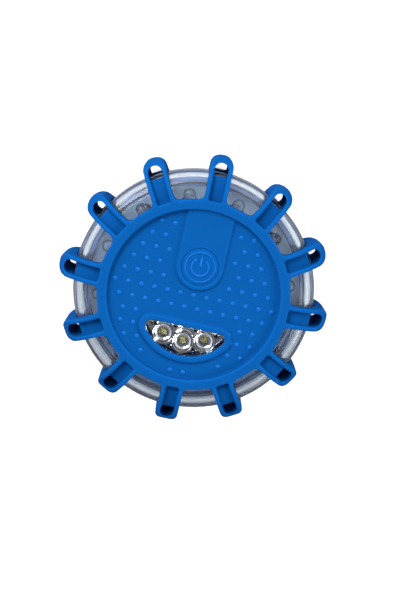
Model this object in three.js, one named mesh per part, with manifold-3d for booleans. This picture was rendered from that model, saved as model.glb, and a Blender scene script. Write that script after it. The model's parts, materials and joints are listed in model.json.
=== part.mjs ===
// Road flare: a round LED warning beacon in a rubber jacket with twelve hollow bumper loops.
// Millimetres. It lies on its back: +Z is up out of the lit face, +Y points to the power button,
// and the origin is the centre of the plane that the back rests on.
import * as THREE from 'three';
import { mergeVertices } from 'three/addons/utils/BufferGeometryUtils.js';
import Module from 'manifold-3d';

// ---------------------------------------------------------------- driving sizes
const LOOP_REACH = 54.3; // centre to the outside of a bumper loop
const HEIGHT = 33; // back plane to the front ring
const LOOP_COUNT = 12;

// rubber jacket
const LOOP_WIDTH = 8.7;
const LOOP_LENGTH = 17.1; // from the front ring outwards
const LOOP_SIDE_WALL = 1.75;
const LOOP_END_WALL = 2.8; // at half height, where a loop is fullest
const LOOP_CREST = 0.5; // loops stay level this far beyond the ring and then round over
const LOOP_ROOT_FILLET = 2.2;
const SLOT_DEPTH = 3;
const SLOT_INSET = 0.2; // slots start this far inside the edge of the ring
const WEB_SETBACK = 1.1; // web stops this far inside the edge of the lens
const RING_WIDTH = 3.8;
const RECESS_DEPTH = 2.4;
const FRONT_SKIN = 2.3;
const BACK_SKIN = 4.6;
const BACK_RING_SETBACK = 4.6; // back ring stops this far inside the edge of the lens
const BACK_SLOT_DEPTH = 2.4;

// power button and its raised tab
const BUTTON_OFFSET = 11.35;
const TAB_WIDTH = 18.2;
const TAB_RISE = 1;
const BUTTON_RADIUS = 6.85;
const BUTTON_FLANGE = 1.35;
const BUTTON_FLANGE_THICKNESS = 0.7;
const BUTTON_TRAVEL = 0.8;
const STEM_RADIUS = 2.2;
const STEM_DROP = 1.2; // below the front plate of the housing
const BUTTON_CHAMFER = 0.3;

// torch window: a circular segment with rounded tips
const WINDOW_ARC = 19;
const WINDOW_DEPTH = 11.6; // flat edge to the lowest point of the arc
const WINDOW_TIP = 2.4;
const WINDOW_MARGIN = 9; // lowest point of the arc to the edge of the recess
const SURROUND_WIDTH = 2.6;
const SURROUND_RISE = 1.2;
const WINDOW_FLANGE = 2;
const WINDOW_FLANGE_THICKNESS = 0.8;
const WINDOW_SINK = 0.9; // window face below the surround
const CUP_RADIUS = 4.3;
const CUP_THROAT = 2.2;
const CUP_DEPTH = 5;
const CUP_PITCH = 8.25;
const CUP_STAGGER = 1.9; // outer cups sit this much nearer the flat edge
const CUP_MARGIN = 0.5; // middle cup to the arc of the window
const REFLECTOR_LIP = 0.5; // reflector past the clear opening

// clear housing, in two halves
const LOOP_AIR = 3.9; // see-through gap between the lens and the loop
const HOUSING_WALL = 2.4;
const HOUSING_PLATE = 1.8;
const SHOULDER_WIDTH = 5.6;
const SHOULDER_HEIGHT = 8;
const CAVITY_STEP = 1; // flat of the cavity past the flat of the outside, less the wall
const SEAM_FLANGE = 3;
const SEAM_FLANGE_THICKNESS = 1.8;
const SEAL_WIDTH = 0.8;
const SEAL_HEIGHT = 1.1;

// three AAA cells in their tray
const CELL_DIAMETER = 10.5;
const CELL_LENGTH = 44.5;
const CELL_COUNT = 3;
const TERMINAL_RADIUS = 1.9;
const TERMINAL_LENGTH = 1;
const CONTACT_THICKNESS = 0.4;
const SPRING_LENGTH = 2.8;
const SPRING_WIRE = 0.6;
const SPRING_TURNS = 2.5;
const SPRING_BASE_RADIUS = 3.4;
const SPRING_TIP_RADIUS = 2;
const CONTACT_SETBACK = 1; // edges of a contact plate inside the top and bottom of the cells
const TRAY_WALL = 1;
const TRAY_ROOF = 0.7;

// circuit board and what is on it
const BOARD_THICKNESS = 1.4;
const BOARD_SETBACK = 1.7; // board edge inside the front ring
const BOARD_SCREW_MARGIN = 2.3; // screw head to the board's edge
const LED_RADIUS = 2.45;
const LED_BRIM = 0.45;
const LED_BRIM_THICKNESS = 0.7;
const LED_LENGTH = 4.2;
const LED_LEAD = 0.5;
const LED_LEAD_PITCH = 2.54;
const LED_LEAD_LENGTH = 2.4;
const LED_LEAD_BITE = 0.2; // lead inside the brim
const SWITCH_SIDE = 6;
const SWITCH_HEIGHT = 3.5;
const PLUNGER_RADIUS = 1.7;
const CHIP_SIZE = [8, 5, 1.5];
const CHIP_GAP = 5; // switch to chip
const TORCH_BOARD = [26, 9.5, 1];
const TORCH_LED = [2.8, 2.8, 0.85];

// rear cover, its screws, magnet and hanging bail
const COVER_FLANGE_THICKNESS = 1.8;
const COVER_FLANGE_RISE = 1.5; // underside of the flange above the back plane
const COVER_SETBACK = 0.2; // cover face above the back plane
const COVER_CHAMFER = 0.6;
const GASKET_WIDTH = 1.6;
const GASKET_HEIGHT = 1;
const SCREW_RADIUS = 1.1;
const SCREW_HEAD_RADIUS = 2.1;
const SCREW_HEAD_HEIGHT = 1;
const HEAD_FACE = 0.8; // flat of a screw head, of its radius
const HEAD_EDGE = 0.4; // where its rim starts, of its height
const CROSS_REACH = 0.55; // of its radius
const CROSS_WIDTH = 0.5;
const COVER_SCREW_LENGTH = 9;
const BOARD_SCREW_LENGTH = 6;
const BOSS_WALL = 1.6;
const COVER_SCREWS = 4;
const BOARD_SCREWS = 4;
const MAGNET_RADIUS = 8.5;
const MAGNET_HEIGHT = 2.2;
const MAGNET_SINK = 0.1; // below the cover's face
const MAGNET_CHAMFER = 0.3;
const MAGNET_RIB = 1.6; // cover left between the magnet and the bail
const BAIL_WIRE = 1.6;
const BAIL_HALF_WIDTH = 5.1; // pivot centreline to one arm's centreline
const BAIL_LENGTH = 29;
const BAIL_STUB = 2.7;
const BAIL_BEND = 1.2;
const BAIL_SINK = 0.4; // below the cover's face
const BAIL_EDGE = 1; // bail's pivot to the edge of the cover's plateau

// clearances
const FIT = 0.3; // between pieces that are held together
const SLIDE_FIT = 0.25; // round a turning or sliding piece
const POCKET_FIT = 0.4; // beside the bail in its pocket
const SOLDER = 0.05;
const PAST = 1; // how far a cutting solid runs past what it cuts
const WELD = 1e-4;
const SKIN_BITE = 0.5; // raised details start this far down inside the skin that they stand on

// how finely curves are stepped
const ROUND_STEPS = 48; // a multiple of the number of loops
const MIDDLE_STEPS = 24;
const SMALL_STEPS = 12;
const TIP_STEPS = 5;
const LONG_ARC_STEPS = 16;
const LOOP_STEPS = 8;
const SLOT_STEPS = 6;
const FILLET_STEPS = 3;
const SHOULDER_STEPS = 4;
const BOWL_STEPS = 4;
const DOME_STEPS = 3;
const WIRE_SIDES = 6;
const SPRING_SIDES = 5;
const SPRING_STEPS = 20;
const BAIL_STEPS = 48;

// ---------------------------------------------------------------- sizes that follow
const loopPitch = (2 * Math.PI) / LOOP_COUNT;
const slotHalfWidth = LOOP_WIDTH / 2 - LOOP_SIDE_WALL;
const slotEnd = LOOP_REACH - LOOP_END_WALL;
const lensRadius = slotEnd - LOOP_AIR;
const ringRadius = LOOP_REACH - LOOP_LENGTH;
const recessRadius = ringRadius - RING_WIDTH;
const backRingRadius = lensRadius - BACK_RING_SETBACK;
const recessZ = HEIGHT - RECESS_DEPTH;
const tabZ = recessZ + TAB_RISE;
const surroundZ = recessZ + SURROUND_RISE;
const housingTop = recessZ - FRONT_SKIN - FIT;
const housingBottom = BACK_SKIN + FIT;
const plateUnderside = housingTop - HOUSING_PLATE;
const floorZ = housingBottom + HOUSING_PLATE;
const seamZ = HEIGHT / 2;
const cavityRadius = lensRadius - HOUSING_WALL;
const cavityFlat = cavityRadius - SHOULDER_WIDTH + CAVITY_STEP;
const flangeRadius = cavityRadius - SEAM_FLANGE;

const windowLow = -(recessRadius - WINDOW_MARGIN);
const windowFlat = windowLow + WINDOW_DEPTH;
const windowTop = surroundZ - WINDOW_SINK;
const reflectorTop = housingTop - SOLDER * 2;
const reflectorBottom = reflectorTop - CUP_DEPTH;
const torchLedTop = reflectorBottom - FIT / 2;
const torchBoardTop = torchLedTop - TORCH_LED[2] - SOLDER;
const cupRow = windowLow + CUP_RADIUS + CUP_MARGIN;

const cellZ = housingBottom + CELL_DIAMETER / 2;
const cellPitch = CELL_DIAMETER + FIT;
const trayInnerLength = CELL_LENGTH + SPRING_LENGTH + 2 * CONTACT_THICKNESS + 3 * FIT;
const trayInnerWidth = CELL_COUNT * cellPitch + 2 * FIT;
const trayRoofUnderside = housingBottom + CELL_DIAMETER + FIT;
const trayTop = trayRoofUnderside + TRAY_ROOF;
const trayCorner = Math.hypot(trayInnerLength / 2 + TRAY_WALL, trayInnerWidth / 2 + TRAY_WALL);

const boardBottom = trayTop + 2 * FIT;
const boardTop = boardBottom + BOARD_THICKNESS;
const boardRadius = ringRadius - BOARD_SETBACK;
const boardScrewRadius = boardRadius - SCREW_HEAD_RADIUS - BOARD_SCREW_MARGIN;
const partsZ = boardTop + SOLDER;
const ledZ = partsZ + LED_LEAD / 2;
const ledStart = boardRadius + 2 * FIT;

const plateauRadius = trayCorner;
const gasketInner = plateauRadius + 2 * FIT;
const gasketOuter = gasketInner + GASKET_WIDTH;
const coverScrewRadius = gasketOuter + FIT + SCREW_HEAD_RADIUS + FIT;
const coverRadius = coverScrewRadius + SCREW_HEAD_RADIUS + 2 * FIT;
const flangeTop = COVER_FLANGE_RISE + COVER_FLANGE_THICKNESS;
const coverTop = housingBottom - FIT;
const bossRadius = SCREW_RADIUS + FIT + BOSS_WALL;

const bailAngle = Math.PI / 2 - loopPitch / 2; // along the gap beside the button's own loop
const bailPivot = plateauRadius - BAIL_WIRE / 2 - BAIL_EDGE;
const bailZ = COVER_SETBACK + BAIL_WIRE / 2 + BAIL_SINK;
const bailPocketHalf = BAIL_HALF_WIDTH + BAIL_WIRE / 2 + POCKET_FIT;
const bailPocketZ = bailZ + BAIL_WIRE / 2 + FIT;
const bailEnd = bailPivot - BAIL_LENGTH - BAIL_WIRE / 2;
const magnetCentre = bailEnd - FIT - MAGNET_RIB - MAGNET_RADIUS;
const magnetLow = COVER_SETBACK + MAGNET_SINK;

const stemBottom = plateUnderside - STEM_DROP;
const plungerTop = stemBottom - FIT / 2;

// ---------------------------------------------------------------- materials
function material(color, roughness, metalness, opacity = 1) {
  return new THREE.MeshStandardMaterial({
    color, roughness, metalness, opacity, transparent: opacity < 1,
  });
}

const rubber = material(0x155fb0, 0.62, 0);
const buttonRubber = material(0x165fb2, 0.6, 0);
const clearPlastic = material(0xdfe6ee, 0.08, 0, 0.35);
const chromePlating = material(0xd8dade, 0.08, 1);
const ledEpoxy = material(0xe8eef4, 0.06, 0, 0.5);
const phosphor = material(0xb9a84a, 0.45, 0);
const boardGreen = material(0x1d6b3a, 0.5, 0);
const aluminium = material(0xc9ccd0, 0.35, 0.9);
const blackPlastic = material(0x17181a, 0.5, 0);
const greyPlastic = material(0x3a3d42, 0.55, 0);
const sealRubber = material(0x4a3a30, 0.7, 0);
const gasketRubber = material(0x202225, 0.75, 0);
const steel = material(0xb8bbc0, 0.3, 1);
const nickel = material(0xc9c6bd, 0.25, 1);
const cellWrap = material(0x2c3038, 0.35, 0.2);

// ---------------------------------------------------------------- solid modelling
const wasm = await Module();
wasm.setup();

// A closed three.js geometry as a solid. Triangles that collapse on the axis of a turned shape are dropped.
function solid(geometry) {
  geometry.deleteAttribute('normal');
  geometry.deleteAttribute('uv');
  const merged = mergeVertices(geometry, WELD);
  const corners = merged.index.array;
  const kept = [];
  for (let i = 0; i < corners.length; i += 3) {
    const [a, b, c] = [corners[i], corners[i + 1], corners[i + 2]];
    if (a !== b && b !== c && c !== a) kept.push(a, b, c);
  }
  const vertProperties = new Float32Array(merged.attributes.position.array);
  const made = fromTriangles(vertProperties, kept);
  return made.volume() > 0 ? made : fromTriangles(vertProperties, kept.reverse());
}

function fromTriangles(vertProperties, triangles) {
  const triVerts = new Uint32Array(triangles);
  return new wasm.Manifold(new wasm.Mesh({ numProp: 3, vertProperties, triVerts }));
}

function geometryOf(manifold) {
  const mesh = manifold.getMesh();
  const geometry = new THREE.BufferGeometry();
  geometry.setAttribute('position', new THREE.BufferAttribute(mesh.vertProperties, 3));
  geometry.setIndex(new THREE.BufferAttribute(mesh.triVerts, 1));
  return geometry;
}

// A shape in plan, raised from z0 to z1.
function raised(shape, z0, z1, curveSegments = SMALL_STEPS) {
  const options = { depth: z1 - z0, bevelEnabled: false, curveSegments };
  return solid(new THREE.ExtrudeGeometry(shape, options).translate(0, 0, z0));
}

// A profile of [radius, z] pairs turned about the Z axis.
function turned(profile, steps = ROUND_STEPS) {
  const points = profile.map(([r, z]) => new THREE.Vector2(r, z));
  return solid(new THREE.LatheGeometry(points, steps).rotateX(Math.PI / 2));
}

function disc(radius, z0, z1, steps = SMALL_STEPS) {
  return turned([[0, z0], [radius, z0], [radius, z1], [0, z1]], steps);
}

function ring(inner, outer, z0, z1, steps = ROUND_STEPS) {
  return turned([[inner, z0], [outer, z0], [outer, z1], [inner, z1], [inner, z0]], steps);
}

// Quarter of an ellipse in profile, from its level end at [radius, z] outwards. A negative drop rises.
function shoulder(radius, z, width, drop, steps) {
  return Array.from({ length: steps + 1 }, (_, i) => {
    const bearing = (Math.PI / 2) * (1 - i / steps);
    return [radius + width * Math.cos(bearing), z - drop * (1 - Math.sin(bearing))];
  });
}

function block(x0, x1, y0, y1, z0, z1) {
  const box = new THREE.BoxGeometry(x1 - x0, y1 - y0, z1 - z0);
  return solid(box.translate((x0 + x1) / 2, (y0 + y1) / 2, (z0 + z1) / 2));
}

function polar(radius, angle) {
  return [radius * Math.cos(angle), radius * Math.sin(angle), 0];
}

const degrees = (angle) => (angle * 180) / Math.PI;

// Places of count copies round the Z axis, the first at angle start.
function around(count, start) {
  return Array.from({ length: count }, (_, i) => start + (i * 2 * Math.PI) / count);
}

const root = new THREE.Group();

function add(name, made, finish, parent = root) {
  const mesh = new THREE.Mesh(geometryOf(made), finish);
  mesh.name = name;
  parent.add(mesh);
  return mesh;
}

// ---------------------------------------------------------------- outlines in plan
function arcPoints(x, y, radius, from, to, steps) {
  return Array.from({ length: steps + 1 }, (_, i) => {
    const angle = from + ((to - from) * i) / steps;
    return new THREE.Vector2(x + radius * Math.cos(angle), y + radius * Math.sin(angle));
  });
}

// The jacket from above: a ring of the given radius with filleted, round-ended loops.
function jacketOutline(radius) {
  const half = LOOP_WIDTH / 2;
  const filletX = half + LOOP_ROOT_FILLET;
  const filletY = Math.sqrt((radius + LOOP_ROOT_FILLET) ** 2 - filletX ** 2);
  const root0 = Math.atan2(-filletY, filletX);
  const gapStart = Math.atan2(filletX, filletY);
  const ringStart = Math.PI / 2 + gapStart;
  const loop = [
    ...arcPoints(filletX, filletY, LOOP_ROOT_FILLET, -Math.PI - root0, -Math.PI, FILLET_STEPS),
    ...arcPoints(0, LOOP_REACH - half, half, 0, Math.PI, LOOP_STEPS),
    ...arcPoints(-filletX, filletY, LOOP_ROOT_FILLET, 0, root0, FILLET_STEPS),
    ...arcPoints(0, 0, radius, ringStart, ringStart + loopPitch - 2 * gapStart, FILLET_STEPS).slice(1, -1),
  ];
  const centre = new THREE.Vector2();
  return new THREE.Shape(around(LOOP_COUNT, 0).flatMap(
    (turn) => loop.map((p) => p.clone().rotateAround(centre, turn)),
  ));
}

// A slot along +Y from radius start to the end of the loop, square inside and round outside.
function slot(start, z0, z1) {
  const outline = new THREE.Shape([
    new THREE.Vector2(-slotHalfWidth, 0),
    new THREE.Vector2(slotHalfWidth, 0),
    ...arcPoints(0, slotEnd - slotHalfWidth, slotHalfWidth, 0, Math.PI, SLOT_STEPS),
  ]);
  return raised(outline, z0, z1).intersect(block(-LOOP_WIDTH, LOOP_WIDTH, start, LOOP_REACH, z0, z1));
}

// The torch window grown outwards by offset.
function windowOutline(offset) {
  const arcY = windowLow + WINDOW_ARC;
  const tipY = windowFlat - WINDOW_TIP;
  const tipX = Math.sqrt((WINDOW_ARC - WINDOW_TIP) ** 2 - (tipY - arcY) ** 2);
  const bearing = Math.atan2(tipY - arcY, tipX);
  const tip = WINDOW_TIP + offset;
  const arcRadius = WINDOW_ARC + offset;
  return new THREE.Shape([
    ...arcPoints(tipX, tipY, tip, bearing, Math.PI / 2, TIP_STEPS),
    ...arcPoints(-tipX, tipY, tip, Math.PI / 2, Math.PI - bearing, TIP_STEPS),
    ...arcPoints(0, arcY, arcRadius, -Math.PI - bearing, bearing, LONG_ARC_STEPS).slice(1, -1),
  ]);
}

function tabOutline() {
  return new THREE.Shape([
    ...arcPoints(0, BUTTON_OFFSET, TAB_WIDTH / 2, -Math.PI, 0, LONG_ARC_STEPS),
    new THREE.Vector2(TAB_WIDTH / 2, ringRadius - RING_WIDTH / 2),
    new THREE.Vector2(-TAB_WIDTH / 2, ringRadius - RING_WIDTH / 2),
  ]);
}

// ---------------------------------------------------------------- rubber jacket
// Outside of the closed clear puck, grown by gap all over.
function puck(gap) {
  const low = housingBottom - gap;
  const high = housingTop + gap;
  const flat = lensRadius + gap - SHOULDER_WIDTH;
  return turned([
    [0, low], ...shoulder(flat, low, SHOULDER_WIDTH, -SHOULDER_HEIGHT, SHOULDER_STEPS),
    ...shoulder(flat, high, SHOULDER_WIDTH, SHOULDER_HEIGHT, SHOULDER_STEPS).reverse(), [0, high],
  ]);
}

// The round-edged shape that the loops are cut from, fullest at half height.
function bumperForm() {
  const front = ringRadius + LOOP_CREST;
  const back = backRingRadius + LOOP_CREST;
  return turned([
    [0, 0], ...shoulder(back, 0, LOOP_REACH - back, -seamZ, SLOT_STEPS),
    ...shoulder(front, HEIGHT, LOOP_REACH - front, HEIGHT - seamZ, LOOP_STEPS).reverse().slice(1),
    [0, HEIGHT],
  ]);
}

function rubberJacket() {
  const form = bumperForm();
  let jacket = raised(jacketOutline(ringRadius), seamZ, HEIGHT)
    .add(raised(jacketOutline(backRingRadius), 0, seamZ))
    .intersect(form)
    .subtract(puck(FIT))
    .subtract(disc(recessRadius, recessZ, HEIGHT + PAST, ROUND_STEPS))
    .subtract(disc(coverRadius + FIT, -PAST, housingBottom, ROUND_STEPS));
  const frontSlot = slot(ringRadius - SLOT_INSET, seamZ, HEIGHT + PAST)
    .subtract(form.translate([0, 0, -SLOT_DEPTH]));
  const backSlot = slot(backRingRadius - SLOT_INSET, -PAST, seamZ)
    .subtract(form.translate([0, 0, BACK_SLOT_DEPTH]));
  const hollow = slot(lensRadius - WEB_SETBACK, -PAST, HEIGHT + PAST).add(frontSlot).add(backSlot);
  for (const turn of around(LOOP_COUNT, 0)) {
    jacket = jacket.subtract(hollow.rotate([0, 0, degrees(turn)]));
  }
  const keyWay = BUTTON_RADIUS + 2 * SLIDE_FIT;
  const flangeWay = BUTTON_RADIUS + BUTTON_FLANGE + FIT;
  const flangeWayTop = housingTop + FIT + BUTTON_TRAVEL + BUTTON_FLANGE_THICKNESS + FIT;
  const windowSeat = housingTop + FIT + WINDOW_FLANGE_THICKNESS + FIT;
  return jacket
    .add(raised(tabOutline(), recessZ - SKIN_BITE, tabZ))
    .add(raised(windowOutline(SURROUND_WIDTH), recessZ - SKIN_BITE, surroundZ))
    .subtract(disc(keyWay, 0, HEIGHT, MIDDLE_STEPS).translate([0, BUTTON_OFFSET, 0]))
    .subtract(disc(flangeWay, 0, flangeWayTop, MIDDLE_STEPS).translate([0, BUTTON_OFFSET, 0]))
    .subtract(raised(windowOutline(0), housingTop, HEIGHT))
    .subtract(raised(windowOutline(WINDOW_FLANGE + FIT), housingTop, windowSeat))
    .subtract(bailWay(bailPocketZ + FIT));
}

// Room for the bail, from its stored end out past the rim, up to height top.
function bailWay(top) {
  return block(bailEnd - FIT, LOOP_REACH, -bailPocketHalf, bailPocketHalf, -PAST, top)
    .rotate([0, 0, degrees(bailAngle)]);
}

// ---------------------------------------------------------------- clear housing
function sealGroove() {
  const inner = flangeRadius + FIT;
  const half = SEAL_HEIGHT / 2 + FIT;
  return ring(inner, inner + SEAL_WIDTH + 2 * FIT, seamZ - half, seamZ + half);
}

function clearHousing() {
  const low = seamZ + FIT / 2;
  const flangeZ = low + SEAM_FLANGE_THICKNESS;
  const cavity = turned([
    [0, seamZ - PAST], [flangeRadius, seamZ - PAST], [flangeRadius, flangeZ],
    [cavityRadius, flangeZ], [cavityRadius, housingTop - SHOULDER_HEIGHT],
    [cavityFlat, plateUnderside], [0, plateUnderside],
  ]);
  return puck(0)
    .subtract(disc(LOOP_REACH, 0, low, ROUND_STEPS))
    .subtract(cavity)
    .subtract(sealGroove())
    .subtract(raised(windowOutline(REFLECTOR_LIP + FIT), plateUnderside - PAST, HEIGHT))
    .subtract(disc(STEM_RADIUS + FIT, plateUnderside - PAST, HEIGHT).translate([0, BUTTON_OFFSET, 0]));
}

function baseHousing() {
  const high = seamZ - FIT / 2;
  const flangeZ = high - SEAM_FLANGE_THICKNESS;
  const cavity = turned([
    [0, floorZ], [cavityFlat, floorZ], [cavityRadius, housingBottom + SHOULDER_HEIGHT],
    [cavityRadius, flangeZ], [flangeRadius, flangeZ], [flangeRadius, seamZ + PAST],
    [0, seamZ + PAST],
  ]);
  const halfLength = trayInnerLength / 2 + TRAY_WALL + FIT;
  const halfWidth = trayInnerWidth / 2 + TRAY_WALL + FIT;
  let base = puck(0)
    .subtract(disc(LOOP_REACH, high, HEIGHT, ROUND_STEPS))
    .subtract(cavity)
    .subtract(sealGroove())
    .subtract(block(-halfLength, halfLength, -halfWidth, halfWidth, 0, floorZ + PAST));
  const boss = disc(bossRadius, floorZ - FIT, flangeTop + COVER_SCREW_LENGTH);
  const pilot = disc(SCREW_RADIUS + FIT, 0, HEIGHT);
  for (const angle of around(COVER_SCREWS, Math.PI / COVER_SCREWS)) {
    const at = polar(coverScrewRadius, angle);
    base = base.add(boss.translate(at)).subtract(pilot.translate(at));
  }
  const post = disc(bossRadius, floorZ - FIT, boardBottom - FIT);
  const postPilot = disc(SCREW_RADIUS + FIT, boardTop - BOARD_SCREW_LENGTH - PAST, HEIGHT);
  for (const angle of around(BOARD_SCREWS, 0)) {
    const at = polar(boardScrewRadius, angle);
    base = base.add(post.translate(at)).subtract(postPilot.translate(at));
  }
  return base;
}

function housingSeal() {
  const inner = flangeRadius + 2 * FIT;
  return ring(inner, inner + SEAL_WIDTH, seamZ - SEAL_HEIGHT / 2, seamZ + SEAL_HEIGHT / 2);
}

// ---------------------------------------------------------------- torch
function torchWindow() {
  const low = housingTop + FIT;
  return raised(windowOutline(WINDOW_FLANGE), low, low + WINDOW_FLANGE_THICKNESS)
    .add(raised(windowOutline(-FIT), low, windowTop));
}

const cupPlaces = [-1, 0, 1].map((side) => [side * CUP_PITCH, cupRow + Math.abs(side) * CUP_STAGGER, 0]);

function reflector() {
  const bowl = Array.from({ length: BOWL_STEPS + 1 }, (_, i) => {
    const rise = i / BOWL_STEPS;
    const radius = Math.sqrt(CUP_THROAT ** 2 + rise * (CUP_RADIUS ** 2 - CUP_THROAT ** 2));
    return [radius, reflectorBottom + rise * CUP_DEPTH];
  });
  const cup = turned([
    [0, reflectorBottom - PAST], [CUP_THROAT, reflectorBottom - PAST], ...bowl,
    [CUP_RADIUS, reflectorTop + PAST], [0, reflectorTop + PAST],
  ], MIDDLE_STEPS);
  const body = raised(windowOutline(REFLECTOR_LIP), reflectorBottom, reflectorTop);
  return cupPlaces.reduce((made, place) => made.subtract(cup.translate(place)), body);
}

function torchLed([x, y]) {
  const [width, depth, height] = TORCH_LED;
  return block(x - width / 2, x + width / 2, y - depth / 2, y + depth / 2, torchLedTop - height, torchLedTop);
}

function torchBoard() {
  const [length, width, thickness] = TORCH_BOARD;
  const middle = cupRow + CUP_STAGGER / 2;
  return block(-length / 2, length / 2, middle - width / 2, middle + width / 2,
    torchBoardTop - thickness, torchBoardTop);
}

// ---------------------------------------------------------------- circuit board
function mainBoard() {
  const hole = disc(SCREW_RADIUS + FIT, boardBottom - PAST, boardTop + PAST);
  return around(BOARD_SCREWS, 0).reduce(
    (made, angle) => made.subtract(hole.translate(polar(boardScrewRadius, angle))),
    disc(boardRadius, boardBottom, boardTop, ROUND_STEPS),
  );
}

// A brimmed round LED on its side at the board's edge, pointing along +X before it is turned.
function sideLed(angle) {
  const dome = shoulder(0, LED_LENGTH, LED_RADIUS, LED_RADIUS, DOME_STEPS).reverse();
  const lamp = turned([
    [0, 0], [LED_RADIUS + LED_BRIM, 0], [LED_RADIUS + LED_BRIM, LED_BRIM_THICKNESS],
    [LED_RADIUS, LED_BRIM_THICKNESS], ...dome,
  ], SMALL_STEPS).rotate([0, 90, 0]);
  const lead = (side) => {
    const y = (side * LED_LEAD_PITCH) / 2;
    const half = LED_LEAD / 2;
    return block(-LED_LEAD_LENGTH, LED_LEAD_BITE, y - half, y + half, -half, half);
  };
  return lamp.add(lead(-1)).add(lead(1))
    .translate([ledStart, 0, ledZ])
    .rotate([0, 0, degrees(angle)]);
}

function switchBody() {
  const half = SWITCH_SIDE / 2;
  const bore = disc(PLUNGER_RADIUS + FIT, partsZ + PAST, HEIGHT);
  return block(-half, half, -half, half, partsZ, partsZ + SWITCH_HEIGHT)
    .subtract(bore)
    .translate([0, BUTTON_OFFSET, 0]);
}

function switchPlunger() {
  const low = partsZ + PAST + FIT + BUTTON_TRAVEL;
  return disc(PLUNGER_RADIUS, low, plungerTop).translate([0, BUTTON_OFFSET, 0]);
}

function controlChip() {
  const [length, width, height] = CHIP_SIZE;
  const x = SWITCH_SIDE / 2 + CHIP_GAP;
  return block(x, x + length, BUTTON_OFFSET - width / 2, BUTTON_OFFSET + width / 2, partsZ, partsZ + height);
}

function powerButton() {
  const flangeLow = housingTop + FIT + BUTTON_TRAVEL;
  const flangeHigh = flangeLow + BUTTON_FLANGE_THICKNESS;
  const flange = BUTTON_RADIUS + BUTTON_FLANGE;
  return turned([
    [0, stemBottom], [STEM_RADIUS, stemBottom], [STEM_RADIUS, flangeLow], [flange, flangeLow],
    [flange, flangeHigh], [BUTTON_RADIUS, flangeHigh], [BUTTON_RADIUS, tabZ - BUTTON_CHAMFER],
    [BUTTON_RADIUS - BUTTON_CHAMFER, tabZ], [0, tabZ],
  ], MIDDLE_STEPS).translate([0, BUTTON_OFFSET, 0]);
}

// ---------------------------------------------------------------- cells and contacts
function batteryTray() {
  const [halfLength, halfWidth] = [trayInnerLength / 2, trayInnerWidth / 2];
  const outer = block(-halfLength - TRAY_WALL, halfLength + TRAY_WALL,
    -halfWidth - TRAY_WALL, halfWidth + TRAY_WALL, housingBottom + FIT, trayTop);
  return outer.subtract(block(-halfLength, halfLength, -halfWidth, halfWidth, 0, trayRoofUnderside));
}

// A cell lying along X. facing is +1 or -1, the way that its raised terminal points.
function cell(row, facing) {
  const low = trayInnerLength / 2 - CONTACT_THICKNESS - FIT - CELL_LENGTH;
  const body = CELL_LENGTH - TERMINAL_LENGTH;
  const radius = CELL_DIAMETER / 2;
  return turned([
    [0, 0], [radius, 0], [radius, body], [TERMINAL_RADIUS, body], [TERMINAL_RADIUS, CELL_LENGTH],
    [0, CELL_LENGTH],
  ], MIDDLE_STEPS)
    .rotate([0, 90, 0])
    .translate([low, 0, 0])
    .rotate([0, 0, facing > 0 ? 0 : 180])
    .translate([0, row * cellPitch, cellZ]);
}

// A conical coil between the end plate and the flat end of a cell.
function contactSpring(row, facing) {
  const wire = SPRING_WIRE / 2;
  const start = -trayInnerLength / 2 + CONTACT_THICKNESS + FIT + wire;
  class Coil extends THREE.Curve {
    getPoint(t, target = new THREE.Vector3()) {
      const angle = 2 * Math.PI * SPRING_TURNS * t;
      const radius = SPRING_BASE_RADIUS - (SPRING_BASE_RADIUS - SPRING_TIP_RADIUS) * t;
      const x = start + (SPRING_LENGTH - SPRING_WIRE - FIT) * t;
      return target.set(x, radius * Math.cos(angle), radius * Math.sin(angle));
    }
  }
  const section = new THREE.Shape(arcPoints(0, 0, wire, 0, 2 * Math.PI, SPRING_SIDES).slice(0, -1));
  const options = { steps: SPRING_STEPS, extrudePath: new Coil(), bevelEnabled: false };
  return solid(new THREE.ExtrudeGeometry(section, options))
    .rotate([0, 0, facing > 0 ? 0 : 180])
    .translate([0, row * cellPitch, cellZ]);
}

function contactPlate(side) {
  const outer = (side * trayInnerLength) / 2 - side * SOLDER;
  const inner = outer - side * CONTACT_THICKNESS;
  const half = trayInnerWidth / 2 - FIT;
  const reach = CELL_DIAMETER / 2 - CONTACT_SETBACK;
  return block(Math.min(outer, inner), Math.max(outer, inner), -half, half, cellZ - reach, cellZ + reach);
}

// ---------------------------------------------------------------- fasteners
// A pan-head screw with a cross recess, head down and its shank going up from z = 0.
function screw(length) {
  const head = turned([
    [0, -SCREW_HEAD_HEIGHT], [SCREW_HEAD_RADIUS * HEAD_FACE, -SCREW_HEAD_HEIGHT],
    [SCREW_HEAD_RADIUS, -SCREW_HEAD_HEIGHT * HEAD_EDGE], [SCREW_HEAD_RADIUS, 0], [SCREW_RADIUS, 0],
    [SCREW_RADIUS, length - SCREW_RADIUS], [0, length],
  ], SMALL_STEPS);
  const arm = SCREW_HEAD_RADIUS * CROSS_REACH;
  const half = CROSS_WIDTH / 2;
  const depth = -SCREW_HEAD_HEIGHT * HEAD_EDGE;
  return head
    .subtract(block(-arm, arm, -half, half, -SCREW_HEAD_HEIGHT - PAST, depth))
    .subtract(block(-half, half, -arm, arm, -SCREW_HEAD_HEIGHT - PAST, depth));
}

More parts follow.
